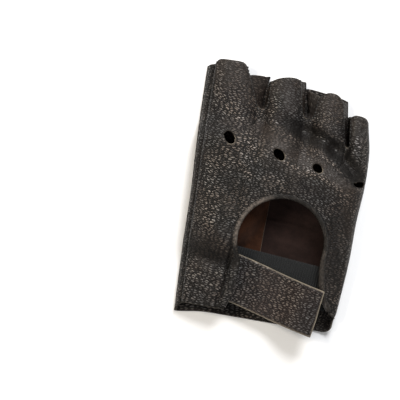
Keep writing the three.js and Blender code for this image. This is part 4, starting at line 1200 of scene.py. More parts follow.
@once("node_groups")
def nap_group(name):
    """Suede and flesh side: short fibres brushed this way and that."""
    inputs = {
        "Place": None, "Colour": (0.1, 0.04, 0.02, 1), "Brushed": (0.2, 0.09, 0.04, 1), "Depth mm": 0.16,
    }
    nodes, given, result = new_group(name, inputs, {"Colour": (), "Normal": None})
    stretched = nodes.mapped(given["Place"], Scale=(1.0, 0.45, 1.0), Rotation=(0, 0, 0.5))
    fibre = nodes.noise(stretched, 1500.0, 4.0, 0.7)[0]
    cloud = nodes.noise(given["Place"], 110.0, 5.0, 0.65)[0]
    light = nodes.times(nodes.ranged(cloud, 0.36, 0.64), 0.65)
    share = nodes.math("ADD", light, nodes.times(nodes.ranged(fibre, 0.35, 0.65), 0.35), clamp=True)
    height = nodes.times(nodes.math("ADD", fibre, cloud), nodes.times(given["Depth mm"], MM))
    colour = nodes.mixed(share, given["Colour"], given["Brushed"])
    nodes.feed(result, {"Colour": colour, "Normal": nodes.bump(height)})
    return nodes.tree


# Materials


def new_material(name):
    """A material, its node tree, its Principled shader's inputs, and the object's own coordinates."""
    material = bpy.data.materials.new(name)
    material.use_nodes = True
    nodes = Nodes(material.node_tree)
    shader = nodes.tree.nodes["Principled BSDF"].inputs
    return material, nodes, shader, nodes.add("ShaderNodeTexCoord")["Object"]


def rgba(colour, factor=1.0):
    return (colour[0] * factor, colour[1] * factor, colour[2] * factor, 1.0)


def chosen_sizes():
    return bpy.context.scene.glove_sizes


def chosen_colours():
    return bpy.context.scene.glove_colours


@once("materials")
def leather(
    name, colour, brown, wear_and_glint, grain, depth, roughness,
    edge_wear=0.6, fold_wear=0.25, uneven=0.12, turn=0.17, smooth=0.4,
):
    """Finished grain leather. brown is the colour that shows through in slow patches. The grain's tops carry
    painted glints and its furrows painted shade, and the seam grooves and the back's zones are painted darker
    as shade.
    """
    material, nodes, shader, place = new_material(name)
    looks = {
        "Place": place, "Grain size mm": grain, "Grain depth mm": depth, "Unevenness mm": uneven,
        "Turn": turn, "Smooth places": smooth,
    }
    texture = nodes.add("ShaderNodeGroup", looks, node_tree=grain_group("Leather grain"))
    patch, furrow = texture["Patch"], texture["Furrow"]
    # Painted light: the grain's tops get a lighter warm or cool tone as painted glints, brighter where the
    # zones' value is above zero; below zero the tops and the ground are painted darker as shade.
    glint_and_shade = nodes.attribute("burnish")
    warm = chosen_colours().wear_and_glint
    painted_glint = nodes.mixed(patch, rgba((warm[1], warm[1], warm[1] * 0.98), 1.3), rgba(warm, 1.45))
    painted_glint = nodes.mixed(nodes.ranged(glint_and_shade, 0.0, 1.0), painted_glint, rgba(warm, 3.0))
    painted_glint = nodes.mixed(nodes.ranged(glint_and_shade, 0.0, -1.0, 0.0, 0.75), painted_glint, rgba(colour))
    ground = nodes.mixed(patch, rgba(colour), rgba(brown))
    ground = nodes.mixed(nodes.ranged(glint_and_shade, 0.0, -1.0, 0.0, 0.5), ground, rgba(colour, 0.3))
    ground = nodes.mixed(texture["Top"], ground, painted_glint)
    # The furrows are painted near-black: partly the grain's own dark, partly painted shade.
    ground = nodes.mixed(furrow, ground, rgba(colour, 0.04))
    looks = {
        "Place": place, "Colour": ground, "Rubbed": rgba(wear_and_glint),
        "Edge wear and glint": edge_wear, "Fold wear": fold_wear,
    }
    worn_and_shaded = nodes.add("ShaderNodeGroup", looks, node_tree=rub_and_crease_shade_group("Rubbed leather"))
    # The seam attribute marks grooves at seams. The colour is painted darker there as shade, and the leather
    # is made rougher.
    shaded = nodes.attribute("seam")
    rough = nodes.plus(roughness, (furrow, 0.3), (worn_and_shaded["Wear"], 0.15), (texture["Calm"], 0.14), (shaded, 0.5))
    nodes.feed(shader, {
        "Base Color": nodes.mixed(shaded, worn_and_shaded["Colour"], rgba(colour, 0.12)),
        "Roughness": nodes.math("MULTIPLY_ADD", patch, -0.04, rough, clamp=True),
        "Normal": texture["Normal"],
        "Specular IOR Level": 0.28,
        "Specular Tint": (1.0, 0.95, 0.9, 1.0),
    })
    return material


def napped(nodes, place, colour, brushed, depth):
    looks = {"Place": place, "Colour": rgba(colour), "Brushed": rgba(brushed), "Depth mm": depth}
    return nodes.add("ShaderNodeGroup", looks, node_tree=nap_group("Suede nap"))


@once("materials")
def suede(name, colour, brushed, depth):
    material, nodes, shader, place = new_material(name)
    nap = napped(nodes, place, colour, brushed, depth)
    nodes.feed(shader, {
        "Base Color": nap["Colour"], "Normal": nap["Normal"], "Roughness": 0.95,
        "Specular IOR Level": 0.15, "Sheen Weight": 0.05, "Sheen Roughness": 0.5,
    })
    return material


@once("materials")
def raw_leather(name, colour, dark):
    """The leather's cut edge, pale where it is worn and as dark as the finish elsewhere; round the back's
    knuckle holes its pale side is a painted highlight.
    """
    material, nodes, shader, place = new_material(name)
    nap = napped(nodes, place, rgba(colour, 0.75), rgba(colour, 1.5), 0.07)
    nodes.feed(shader, {
        "Base Color": nodes.mixed(nodes.attribute("wear"), rgba(dark), nap["Colour"]),
        "Normal": nap["Normal"], "Roughness": 0.8, "Specular IOR Level": 0.3,
    })
    return material


@once("materials")
def knit(name, colour, light):
    """Ribbed knit: yarn twist along each rib."""
    material, nodes, shader, place = new_material(name)
    turned = nodes.mapped(place, Rotation=(0, 0, 0.9))
    wave = {"Vector": turned, "Scale": 480.0, "Distortion": 3.0, "Detail": 2.0}
    twist = nodes.add("ShaderNodeTexWave", wave, wave_type="BANDS", bands_direction="X")["Fac"]
    fuzz = nodes.noise(place, 2200.0, 3.0)[0]
    nodes.feed(shader, {
        "Base Color": nodes.mixed(nodes.times(twist, fuzz, 0.8), rgba(colour), rgba(light)),
        "Normal": nodes.bump(nodes.times(nodes.math("ADD", twist, fuzz), 0.00004)),
        "Roughness": 0.7, "Specular IOR Level": 0.3, "Sheen Weight": 0.06,
    })
    return material


@once("materials")
def thread(name, colour, light):
    """Waxed sewing thread with its ply."""
    material, nodes, shader, place = new_material(name)
    fuzz = nodes.noise(place, 3800.0, 3.0)[0]
    nodes.feed(shader, {
        "Base Color": nodes.mixed(nodes.ranged(fuzz, 0.35, 0.65), rgba(colour), rgba(light)),
        "Normal": nodes.bump(nodes.times(fuzz, 0.00006)),
        "Roughness": 0.6,
    })
    return material


@once("materials")
def speckled(name, scale, one, other, values):
    material, nodes, shader, place = new_material(name)
    speck = nodes.noise(place, scale)[0]
    nodes.feed(shader, {"Base Color": nodes.mixed(speck, rgba(one), rgba(other)), **values})
    return material


def back_leather():
    sizes, colours = chosen_sizes(), chosen_colours()
    return leather(
        "back leather", colours.back, colours.back_brown, colours.wear_and_glint,
        sizes.grain_size, sizes.grain_depth, 0.33, fold_wear=0.1, uneven=0.2, turn=-0.15, smooth=0.3,
    )


def strip_leather():
    colours = chosen_colours()
    dark, brown = rgba(colours.back, 0.85), rgba(colours.back_brown, 0.85)
    return leather("strip leather", dark, brown, colours.wear_and_glint, 1.4, 0.12, 0.4, edge_wear=0.35)


def palm_leather():
    colours = chosen_colours()
    brown = rgba(colours.palm, 1.6)
    return leather("palm leather", colours.palm, brown, colours.wear_and_glint, 1.6, 0.2, 0.46, fold_wear=0.0)


def flesh_side():
    colour = chosen_colours().flesh
    return suede("flesh side", colour, rgba(colour, 1.9), 0.12)


def raw_edge():
    colours = chosen_colours()
    return raw_leather("raw edge", colours.raw_edge, rgba(colours.back, 0.7))


def walls(finish):
    """A leather's outer, inner and cut faces."""
    return finish, flesh_side(), raw_edge()


def dark_thread():
    colour = chosen_colours().thread
    return thread("dark thread", rgba(colour, 0.25), rgba(colour, 0.6))


# Pieces grown along paths


def path_tree(name, inputs):
    """A Geometry Nodes tree for the paths of a mesh: its tools, inputs, curve, and the step that ends it.
    inputs gives each distance's default in metres, or a whole number."""
    tree = bpy.data.node_groups.new(name, "GeometryNodeTree")
    face = tree.interface
    face.new_socket("Geometry", in_out="INPUT", socket_type="NodeSocketGeometry")
    for label, default in inputs.items():
        kind = "Int" if isinstance(default, int) else "Float"
        socket = face.new_socket(label, in_out="INPUT", socket_type="NodeSocket" + kind)
        socket.default_value = default
        if kind == "Float":
            socket.subtype = "DISTANCE"
    face.new_socket("Material", in_out="INPUT", socket_type="NodeSocketMaterial")
    face.new_socket("Geometry", in_out="OUTPUT", socket_type="NodeSocketGeometry")
    nodes = Nodes(tree)
    source = nodes.add("NodeGroupInput")
    curve = nodes.add("GeometryNodeMeshToCurve", {"Mesh": source["Geometry"]})[0]

    def finished(geometry):
        real = nodes.add("GeometryNodeRealizeInstances", {"Geometry": geometry})
        smooth = nodes.add("GeometryNodeSetShadeSmooth", {"Geometry": real[0]})
        looks = {"Geometry": smooth[0], "Material": source["Material"]}
        painted = nodes.add("GeometryNodeSetMaterial", looks)
        nodes.feed(tree.nodes.new("NodeGroupOutput").inputs, {"Geometry": painted[0]})
        return tree

    return nodes, source, curve, finished


def up_vector(nodes):
    return nodes.add("GeometryNodeInputNamedAttribute", {"Name": "up"}, data_type="FLOAT_VECTOR")["Attribute"]


@once("node_groups")
def stitch_tree(name):
    """A plump stitch at every pitch along each path, lying on the path's up vectors."""
    inputs = {"Pitch": 0.0026, "Stitch length": 0.0021, "Thread width": 0.00055, "Seed": 5}
    nodes, source, curve, finished = path_tree(name, inputs)
    steps = {"Curve": curve, "Length": source["Pitch"]}
    points = nodes.add("GeometryNodeCurveToPoints", steps, mode="LENGTH")
    along = nodes.add("FunctionNodeAlignRotationToVector", {"Vector": points["Tangent"]}, axis="X")
    lie = {"Rotation": along[0], "Vector": up_vector(nodes)}
    laid = nodes.add("FunctionNodeAlignRotationToVector", lie, axis="Z", pivot_axis="X")
    spread = {"Min": (0.9, 0.92, 0.9), "Max": (1.06, 1.08, 1.1), "Seed": source["Seed"]}
    jitter = nodes.add("FunctionNodeRandomValue", spread, data_type="FLOAT_VECTOR")
    size = source["Stitch length"], source["Thread width"], source["Thread width"]
    return finished(nodes.balls(points["Points"], 8, size, laid[0], jitter[0]))


@once("node_groups")
def rib_tree(name):
    """A round rib along each path."""
    nodes, source, curve, finished = path_tree(name, {"Rib radius": 0.0005})
    round_section = {"Resolution": 8, "Radius": source["Rib radius"]}
    ring = nodes.add("GeometryNodeCurvePrimitiveCircle", round_section, mode="RADIUS")
    tube = {"Curve": curve, "Profile Curve": ring["Curve"], "Fill Caps": True}
    return finished(nodes.add("GeometryNodeCurveToMesh", tube)[0])


@once("node_groups")
def disc_tree(name):
    """A small flat disc at the first point of each path, facing along its up vector."""
    nodes, source, curve, finished = path_tree(name, {"Width": 0.0009})
    points = nodes.add("GeometryNodeCurveToPoints", {"Curve": curve, "Count": 1}, mode="COUNT")
    laid = nodes.add("FunctionNodeAlignRotationToVector", {"Vector": up_vector(nodes)}, axis="Z")
    return finished(nodes.balls(points["Points"], 14, (source["Width"], source["Width"], 0.00006), laid[0]))


def socket_id(tree, label):
    """The identifier by which a modifier knows a tree's input."""
    for item in tree.interface.items_tree:
        if item.item_type == "SOCKET" and item.in_out == "INPUT" and item.name == label:
            return item.identifier
    raise KeyError(label)


def path_mesh(name, paths):
    """Polylines as a mesh with an up vector at each point. paths holds (points, ups) in millimetres."""
    points, edges, ups = [], [], []
    for line, up in paths:
        start = len(points)
        points.extend(((np.asarray(line) + SHIFT) * MM).tolist())
        ups.extend(np.asarray(up).reshape(-1).tolist())
        edges.extend((start + k, start + k + 1) for k in range(len(line) - 1))
    mesh = bpy.data.meshes.new(name)
    mesh.from_pydata(points, edges, [])
    attribute = mesh.attributes.new("up", "FLOAT_VECTOR", "POINT")
    attribute.data.foreach_set("vector", np.array(ups, np.float32))
    return mesh


def grown_piece(name, slot, paths, tree, inputs):
    """A piece whose plain mesh a tree has grown along paths."""
    carrier = linked(name + "_path", path_mesh(name + "_line", paths))
    modifier = carrier.modifiers.new("Grow", "NODES")
    modifier.node_group = tree
    for label, value in inputs.items():
        modifier[socket_id(tree, label)] = value
    bpy.context.view_layer.update()
    evaluated = carrier.evaluated_get(bpy.context.evaluated_depsgraph_get())
    mesh = bpy.data.meshes.new_from_object(evaluated)
    mesh.name = name
    carrier.modifiers.remove(modifier)
    bpy.data.objects.remove(carrier)
    piece = linked(name, mesh)
    fit(piece, slot)
    return piece


def stitched(name, slot, paths, material):
    sizes = chosen_sizes()
    inputs = {
        "Pitch": sizes.stitch_pitch, "Stitch length": sizes.stitch_length, "Thread width": sizes.thread_width,
        "Material": material,
    }
    grown_piece(name, slot, paths, stitch_tree("Stitch rows"), inputs)


def upright(line):
    return np.tile([0.0, 0.0, 1.0], (len(line), 1))


def resampled(line, ups, step=0.8):
    """A polyline with even steps, and its up vectors."""
    away = run_along(line)
    places = np.linspace(0, away[-1], max(2, int(away[-1] / step)))
    return read_at(places, away, line), read_at(places, away, ups)


# Sizes and colours that a user may change


def length(name, text, default, low):
    return bpy.props.FloatProperty(
        name=name, description=text, default=default, min=low, subtype="DISTANCE", unit="LENGTH"
    )


def tint(name, text, *default):
    return bpy.props.FloatVectorProperty(
        name=name, description=text, default=default, subtype="COLOR", min=0, max=1
    )


class GloveSizes(bpy.types.PropertyGroup):
    """Sizes of the fine work."""

    grain_size: bpy.props.FloatProperty(
        name="Grain Size", description="Width of one pebble of the back's grain, in mm",
        default=1.4, min=0.3, max=4,
    )
    grain_depth: bpy.props.FloatProperty(
        name="Grain Depth", description="Depth of the back's grain, in mm", default=0.3, min=0, max=0.6
    )
    stitch_pitch: length("Stitch Pitch", "From one stitch to the next", 0.0021, 0.001)
    stitch_length: length("Stitch Length", "Length of the thread that shows", 0.0015, 0.0005)
    thread_width: length("Thread Width", "Thickness of the sewing thread", 0.0005, 0.0002)
    rib_pitch: length("Rib Pitch", "From one rib of the knit to the next", 0.0015, 0.0004)
    pinhole: length("Pinhole", "Width of a pinhole in the leather", 0.0011, 0.0003)


class GloveColours(bpy.types.PropertyGroup):
    """Colours of the leathers, the knit and the thread."""

    back: tint("Back", "The back's leather", 0.0115, 0.0084, 0.007)
    back_brown: tint("Back Brown", "Brown that shows through the back's finish", 0.0175, 0.0122, 0.0095)
    # Rubbed is also the tone of the painted glints on the grain's tops.
    wear_and_glint: tint("Rubbed", "Leather rubbed pale", 0.098, 0.08, 0.066)
    raw_edge: tint("Raw Edge", "Cut edge of the leather", 0.16, 0.135, 0.1)
    binding: tint("Binding", "The window's binding", 0.011, 0.0095, 0.008)
    tab: tint("Tab", "The closing tab", 0.018, 0.0102, 0.0084)
    palm: tint("Palm", "The palm's and the thumb's leather", 0.018, 0.013, 0.011)
    flesh: tint("Flesh Side", "Inside of the leathers", 0.0105, 0.0055, 0.0045)
    patch: tint("Patch", "Suede patch inside the palm", 0.026, 0.0098, 0.0045)
    knit: tint("Knit", "The knitted elastic", 0.0032, 0.0042, 0.0046)
    thread: tint("Thread", "Sewing thread", 0.012, 0.0115, 0.011)


# The back


WRIST_EDGE = 8.0  # up to here the edges are the wrist's
# Where the rounded far corner begins, how wide and how high it is, and how far up it reaches.
CORNER_FROM = 43.5
CORNER_WIDE = 5.6
CORNER_HIGH = 4.2
CORNER_REACH = 15
DRAWN_IN = 0.85
TURNED_UP = 0.28


def back_wear_and_rim_glint(points):
    """How pale the back's edges are: the knuckle holes' rims on the side toward lit are painted pale as a
    highlight, the fingers' edges beside the forks and the wrist are worn pale, and the other edges, the
    fingertips among them, only a little.
    """
    x, y = points[:, 0], points[:, 1]
    pale = np.full(len(points), 0.12)
    # lit is the way in the picture that the painted highlight on the hole rims faces.
    c, s = math.cos(PICTURE_TURN), math.sin(PICTURE_TURN)
    lit = unit(np.array([c + s, s - c]))
    for hx, hy, long, _, _ in KNUCKLE_HOLES:
        dx, dy = x - hx * GLOVE_WIDTH, y - hy * GLOVE_LENGTH
        away = np.hypot(dx, dy)
        facing = (dx * lit[0] + dy * lit[1]) / np.maximum(0.1, away)
        pale = np.where(away < 0.8 * long * GLOVE_WIDTH, 0.1 + 0.9 * ease(0.1, 0.9, facing), pale)
    for (_, right, _, tip_right, tip, *_), fork in zip(BACK_FINGERS[:3], FORKS["back"]):
        foot = (right * GLOVE_WIDTH, fork * GLOVE_LENGTH)
        _, side, past = along_line(x, y, *foot, tip_right * GLOVE_WIDTH, (tip - 0.04) * GLOVE_LENGTH)
        pale = np.maximum(pale, 0.6 * (np.hypot(side, past) < 2.4))
    return np.where(y < WRIST_EDGE, 0.35, pale)


def rounded_corner(points):
    """The wrist's far corner, rounded off in plan."""
    out = np.clip((points[:, 0] - CORNER_FROM) / CORNER_WIDE, 0, 0.999)
    points = points.copy()
    points[:, 1] += CORNER_HIGH * (1 - np.sqrt(1 - out**2)) * (1 - ease(0, CORNER_REACH, points[:, 1]))
    return points


def drawn_in(points):
    """The back's thumb-side edge stands a little in from the strips, over a groove, and is turned up."""
    away = points[:, 0] - seam_x(points[:, 1])
    points = points.copy()
    points[:, 0] += DRAWN_IN * (1 - ease(-1, 5, away))
    points[:, 2] += TURNED_UP * np.exp(-(((away - 1.0) / 1.1) ** 2)) * (away < 12)
    return points


def calm_places(points):
    """Where the back's grain is stretched smooth: the ridge below the knuckles, and the fingertips."""
    x, y = points[:, 0], points[:, 1]
    calm = np.zeros(len(points))
    for *ends, half in CALM_BANDS:
        _, side, past = along_line(x, y, *ends)
        calm = np.maximum(calm, 0.6 * np.exp(-((np.hypot(side, past) / half) ** 4)))
    for left, right, _, _, tip, *_ in BACK_FINGERS:
        inside = x < (GLOVE_WIDTH if right is None else right * GLOVE_WIDTH + 2)
        if left is not None:
            inside &= x > left * GLOVE_WIDTH - 2
        tip_y = tip * GLOVE_LENGTH
        calm = np.where(inside, np.maximum(calm, 0.5 * ease(tip_y - 19, tip_y - 9, y)), calm)
    return calm


FLOOR_CLEAR = 0.02  # the lowest that leather comes to the floor, mm


def turn_finish_in(points, faces, kinds, within):
    """The finish covers the inside where within(x, y) says so."""
    middle = points[np.maximum(faces, 0)].mean(axis=1)
    kinds[(kinds == 1) & within(middle[:, 0], middle[:, 1])] = 0


class GLOVE_OT_back(bpy.types.Operator):
    """Build the back with its creases, window, knuckle holes and rolled side"""

    bl_idname = "glove.back"
    bl_label = "Back"

    def execute(self, context):
        grid = back_grid()
        given = grid["points"]
        marks = {
            "crease": grid["crease"], "calm": calm_places(given), "burnish": burnish(given),
            **laid_flat(given.reshape(*grid["grid"].shape, 3), finger=grid["finger"]),
        }
        placed = rounded_corner(drawn_in(given))
        solid = closed_sheet(placed, grid["faces"], LEATHER, extra=marks, wear_and_glint=back_wear_and_rim_glint, rounding=0.45)
        points, faces, kinds, _ = solid
        points[:, 2] = np.maximum(points[:, 2], FLOOR_CLEAR)
        turn_finish_in(points, faces, kinds, lambda x, y: (y < 17) & (x > 30))
        piece = new_piece("back_leather", *solid, walls(back_leather()))
        fit(piece, "back_leather", "back")
        return {"FINISHED"}


# The palm and its patch


def palm_relief(x, y):
    """Creases across the inside of the palm, as leather thicker than its flat outside asks."""
    relief = np.zeros(x.shape)
    for *ends, bow, half, rise in PALM_CREASES:
        share, side, past = along_line(x, y, *ends)
        away = (side - bow * 4 * share * (1 - share) - 0.5 * lattice_noise(x, y, 6, 91)) / half
        fade = np.exp(-((past / (1.5 * half)) ** 2))
        relief += rise * fade * (np.exp(-(away**2)) - 0.6 * np.exp(-(((away - 1.6) / 0.8) ** 2)))
    inner = ease(4, 12, y) * (1 - ease(0.7 * GLOVE_LENGTH, 0.76 * GLOVE_LENGTH, y)) * (1 - ease(36, 42, x))
    relief += 0.22 * lattice_noise(x, y, 9, 92)
    return relief * inner * ease(-46, -40, x)


def patch_solid(grid):
    """The patch inside the palm, from the grid's thumb side to the middle finger, cut out over the thumb."""
    last = np.nonzero((grid["finger"] == 1) & (grid["share"] <= 0.5))[0].max()
    rows = np.nonzero((BODY_SHARES > 0.252) & (BODY_SHARES < 0.79))[0]
    pick = grid["grid"][np.ix_(rows, np.arange(2, last + 1))]
    upward = -grid["normals"][pick]
    base = grid["points"][pick] + upward * (LEATHER + SEAM_GAP)
    held = ease(0.1, 0.9, np.sin(math.pi * np.linspace(0, 1, len(rows))))[:, None]
    base[..., 2] += 0.12 * lattice_noise(base[..., 0], base[..., 1], 6, 33) * held
    points = (base + upward * PATCH_THICK).reshape(-1, 3)
    faces = cut_root_hole(points, quads(numbered(pick.shape)))
    return closed_sheet(points, faces, PATCH_THICK, rounding=0.2, wear_and_glint=lambda p: np.full(len(p), 0.55))


class GLOVE_OT_palm(bpy.types.Operator):
    """Build the palm and the suede patch inside it"""

    bl_idname = "glove.palm"
    bl_label = "Palm"

    def execute(self, context):
        grid = palm_grid()
        x, y = grid["points"][:, 0], grid["points"][:, 1]
        used, faces, kept = tidy_points(grid["points"], grid["faces"], {"relief": palm_relief(x, y)})
        thick = LEATHER + kept["relief"]
        solid = closed_sheet(used, faces, thick, wear_and_glint=lambda p: np.where(p[:, 1] < WRIST_EDGE, 0.4, 0.1))
        points, faces, kinds, _ = solid
        points[:, 2] = np.maximum(points[:, 2], FLOOR_CLEAR)
        wrist, fingers = 0.1 * GLOVE_LENGTH, 0.79 * GLOVE_LENGTH
        turn_finish_in(points, faces, kinds, lambda x, y: (y < wrist) | (y > fingers))
        piece = new_piece("palm_leather", *solid, walls(palm_leather()))
        fit(piece, "palm_leather", "palm")

        rust = suede("rust suede", chosen_colours().patch, rgba(chosen_colours().patch, 2.1), 0.2)
        patch = new_piece("palm_patch_suede", *patch_solid(grid), (rust, rust, raw_edge()))
        fit(patch, "patch_suede", "palm_patch")
        return {"FINISHED"}


class GLOVE_OT_strips(bpy.types.Operator):
    """Build the forks between the fingers and the strips down the thumb side"""

    bl_idname = "glove.strips"
    bl_label = "Forks and Side Strips"

    def execute(self, context):
        back, palm = back_grid(), palm_grid()
        solids = {}
        for f, (name, before, after, stand, rounding) in enumerate(FORK_LEATHERS):
            stations = stations_along(fork_edge(back, f, before, after), fork_edge(palm, f))
            solids[name] = strip_sheet(
                stations, 0.5, low_bulge=1.5, rounding=rounding, stand=stand, pale=0.12
            )
        edge = stations_along(back["under"][back["grid"][:, 0]], palm["under"][palm["grid"][:, 0]])
        along = edge[0][:, 1]
        for name, low, high in SIDE_STRIPS:
            start = max(low * GLOVE_LENGTH + SEAM_GAP / 2, along[0])
            end = min(high * GLOVE_LENGTH - SEAM_GAP / 2, along[-1])
            between = along[(along > start + 0.4) & (along < end - 0.4)]
            stations = [read_at([start, *between, end], along, part) for part in edge]
            solids[name] = strip_sheet(stations, LEATHER, close=0.05, sink=0.28)
        for name, solid in solids.items():
            piece = new_piece(name + "_leather", *solid, walls(strip_leather()))
            fit(piece, "strip_leather", name)
        return {"FINISHED"}


THUMB_POWER = 3.2  # how square the thumb's section is
THUMB_CELLS = 96
THUMB_ROWS = 76
THUMB_CAPS = np.linspace(0, 1, 14)[1:-1]  # rings that close the thumb's root, as shares of its first row


def thumb_surface():
    """The folded thumb's outside: rings from its closed root to its open end, around a flat oval section."""
    angle = 2 * math.pi * (np.arange(THUMB_CELLS) + 0.5) / THUMB_CELLS
    wide, tall = (np.sign(v) * np.abs(v) ** (2 / THUMB_POWER) for v in (np.cos(angle), np.sin(angle)))
    y = mix(THUMB_ROOT_Y, THUMB_TIP_Y, spaced(THUMB_ROWS, 0.25) ** 1.15)
    full = np.clip((y - THUMB_ROOT_Y + 4) / (0.4 * THUMB_LENGTH), 0, 1)
    half = THUMB_WIDTH / 2 * np.sqrt(1 - (1 - full) ** 2)
    high = THUMB_HEIGHT * mix(0.5, 1, ease(0, 0.25 * THUMB_LENGTH, y - THUMB_ROOT_Y))
    x = THUMB_X + half[:, None] * wide[None, :]
    z = high[:, None] / 2 * (1 + tall[None, :])
    y = np.repeat(y[:, None], THUMB_CELLS, axis=1)
    folds = 0.3 * np.sin(y / 2.6 + 0.6 * np.sin(x / 5)) * ease(0, 16, THUMB_TIP_Y - y)
    sag = np.abs(0.35 * lattice_noise(x, y, 7, 51) + folds)
    z = z - 0.5 * sag * ease(-0.2, 0.9, tall)
    x = x - np.sign(wide) * np.abs(wide) ** 3 * 0.5 * sag * (np.abs(tall) < 0.98)
    tube = np.stack([x, y, z], axis=2)
    middle = np.array([THUMB_X, THUMB_ROOT_Y, THUMB_HEIGHT / 4])
    caps = [mix(middle, tube[0], t) for t in THUMB_CAPS]
    points = np.concatenate([[middle], *caps, tube.reshape(-1, 3)])
    ids = closed_round(1 + numbered((len(THUMB_CAPS) + THUMB_ROWS + 1, THUMB_CELLS)))
    none = np.zeros(THUMB_CELLS, int)
    fan = np.stack([none, ids[0, :-1], ids[0, 1:], none - 1], axis=1)
    return points, np.concatenate([fan, turned_quads(ids)])


class GLOVE_OT_thumb(bpy.types.Operator):
    """Build the thumb, folded flat under the palm"""

    bl_idname = "glove.thumb"
    bl_label = "Thumb"

    def execute(self, context):
        points, faces = thumb_surface()
        faces = cut_root_hole(points, faces, points[:, 2] > THUMB_HEIGHT / 2)
        cap = THUMB_CELLS * len(THUMB_CAPS) + 1
        girth = np.arange(THUMB_CELLS) / THUMB_CELLS * 76
        lay = {
            "lay_u": np.concatenate([np.zeros(cap), np.tile(girth, THUMB_ROWS + 1)]),
            "lay_v": np.concatenate([np.linspace(-3, 0, cap), points[cap:, 1]]),
        }
        solid = closed_sheet(points, faces, LEATHER, extra=lay)
        piece = new_piece("thumb_leather", *solid, walls(palm_leather()))
        fit(piece, "palm_leather", "thumb")
        return {"FINISHED"}


# The window's binding


BINDING_LIFT = BINDING_GAP - 0.22  # the strip's inside lies this far over the back
BINDING_FOLDED = range(1, 14)  # the section's points that show
BINDING_CREST = slice(6, 8)


def binding_frames(arc_steps, leg_steps):
    """The window's edge with the direction away from the opening, and the run, at each point."""
    line = window_line(arc_steps, leg_steps)
    run = np.gradient(line[:, :2], axis=0)
    square = unit(np.stack([-run[:, 1], run[:, 0]], axis=1))
    away = run_along(line[:, :2])
    trim = (1 - ease(0, 11, away))[:, None]
    return line, unit(mix(square, np.array([[-1.0, 0.0]]), trim)), away


def out_from_window(line, across, out):
    return line[:, 0] + across[:, 0] * out, line[:, 1] + across[:, 1] * out


def binding_rings(line, across, away):
    """The points of the binding's section along the window, from its outer fold round to its inside."""
    gap, thick, flange = BINDING_LIFT, BINDING_THICK, line[:, 2]
    reach = BINDING_GAP + thick
    pucker = 0.1 * np.sin(away * 2 * math.pi / 2.6) + 0.12 * lattice_noise(away, 0 * away, 4.0, 61)
    # How far out from the window's edge, and how high over the back's face there.
    over = [
        (flange, gap + 0.1),
        (flange + 0.05, gap + 0.55 * thick),
        (flange - 0.3, gap + thick),
        (0.5 * flange, gap + thick + 0.12 + pucker * 0.4),
    ]
    under = [
        (0.5 * flange, -reach),
        (flange - 0.2, -reach),
        (flange, -gap - 0.5 * thick),
        (flange - 0.1, -gap - 0.05),
        (0.3 * flange, -gap),
        (-gap, -gap),
    ]
    inside = [(-gap, gap), (0.3 * flange, gap)]

    def placed(face_height, out, level):
        x, y = out_from_window(line, across, out)
        return np.stack([x, y, face_height(x, y) + level], axis=1)

    lip = 0.2
    top = placed(back_height, lip, gap + thick + 0.05)
    low = placed(back_underside, lip, -reach)
    rings = [placed(back_height, *row) for row in over]
    for a in np.linspace(math.pi / 2, -math.pi / 2, 13):
        out = lip - (reach + lip) * np.cos(a) ** 0.7 if abs(a) < 1.57 else lip
        height = ((top + low) / 2)[:, 2] + (top[:, 2] - low[:, 2]) / 2 * math.sin(a)
        rings.append(np.stack([*out_from_window(line, across, out), height], axis=1))
    rings += [placed(back_underside, *row) for row in under]
    rings += [placed(back_height, *row) for row in inside]
    return np.stack(rings, axis=1)


def closed_tube(ids):
    """Faces of a tube whose section folds back on itself, its two cut ends joined across the wall."""
    shell = ids.shape[1] - 4
    pairs = np.linspace(0, 3, shell).round().astype(int)
    ends = []
    for ring, flip in ((ids[0].tolist(), True), (ids[-1].tolist(), False)):
        inner = ring[:-5:-1]
        for k in range(shell - 1):
            a, b = ring[k], ring[k + 1]
            p, q = inner[pairs[k]], inner[pairs[k + 1]]
            if flip:
                a, b, p, q = b, a, q, p
            ends.append([a, b, q, p] if p != q else [a, b, p, -1])
    return np.concatenate([quads(closed_round(ids)), np.array(ends)])


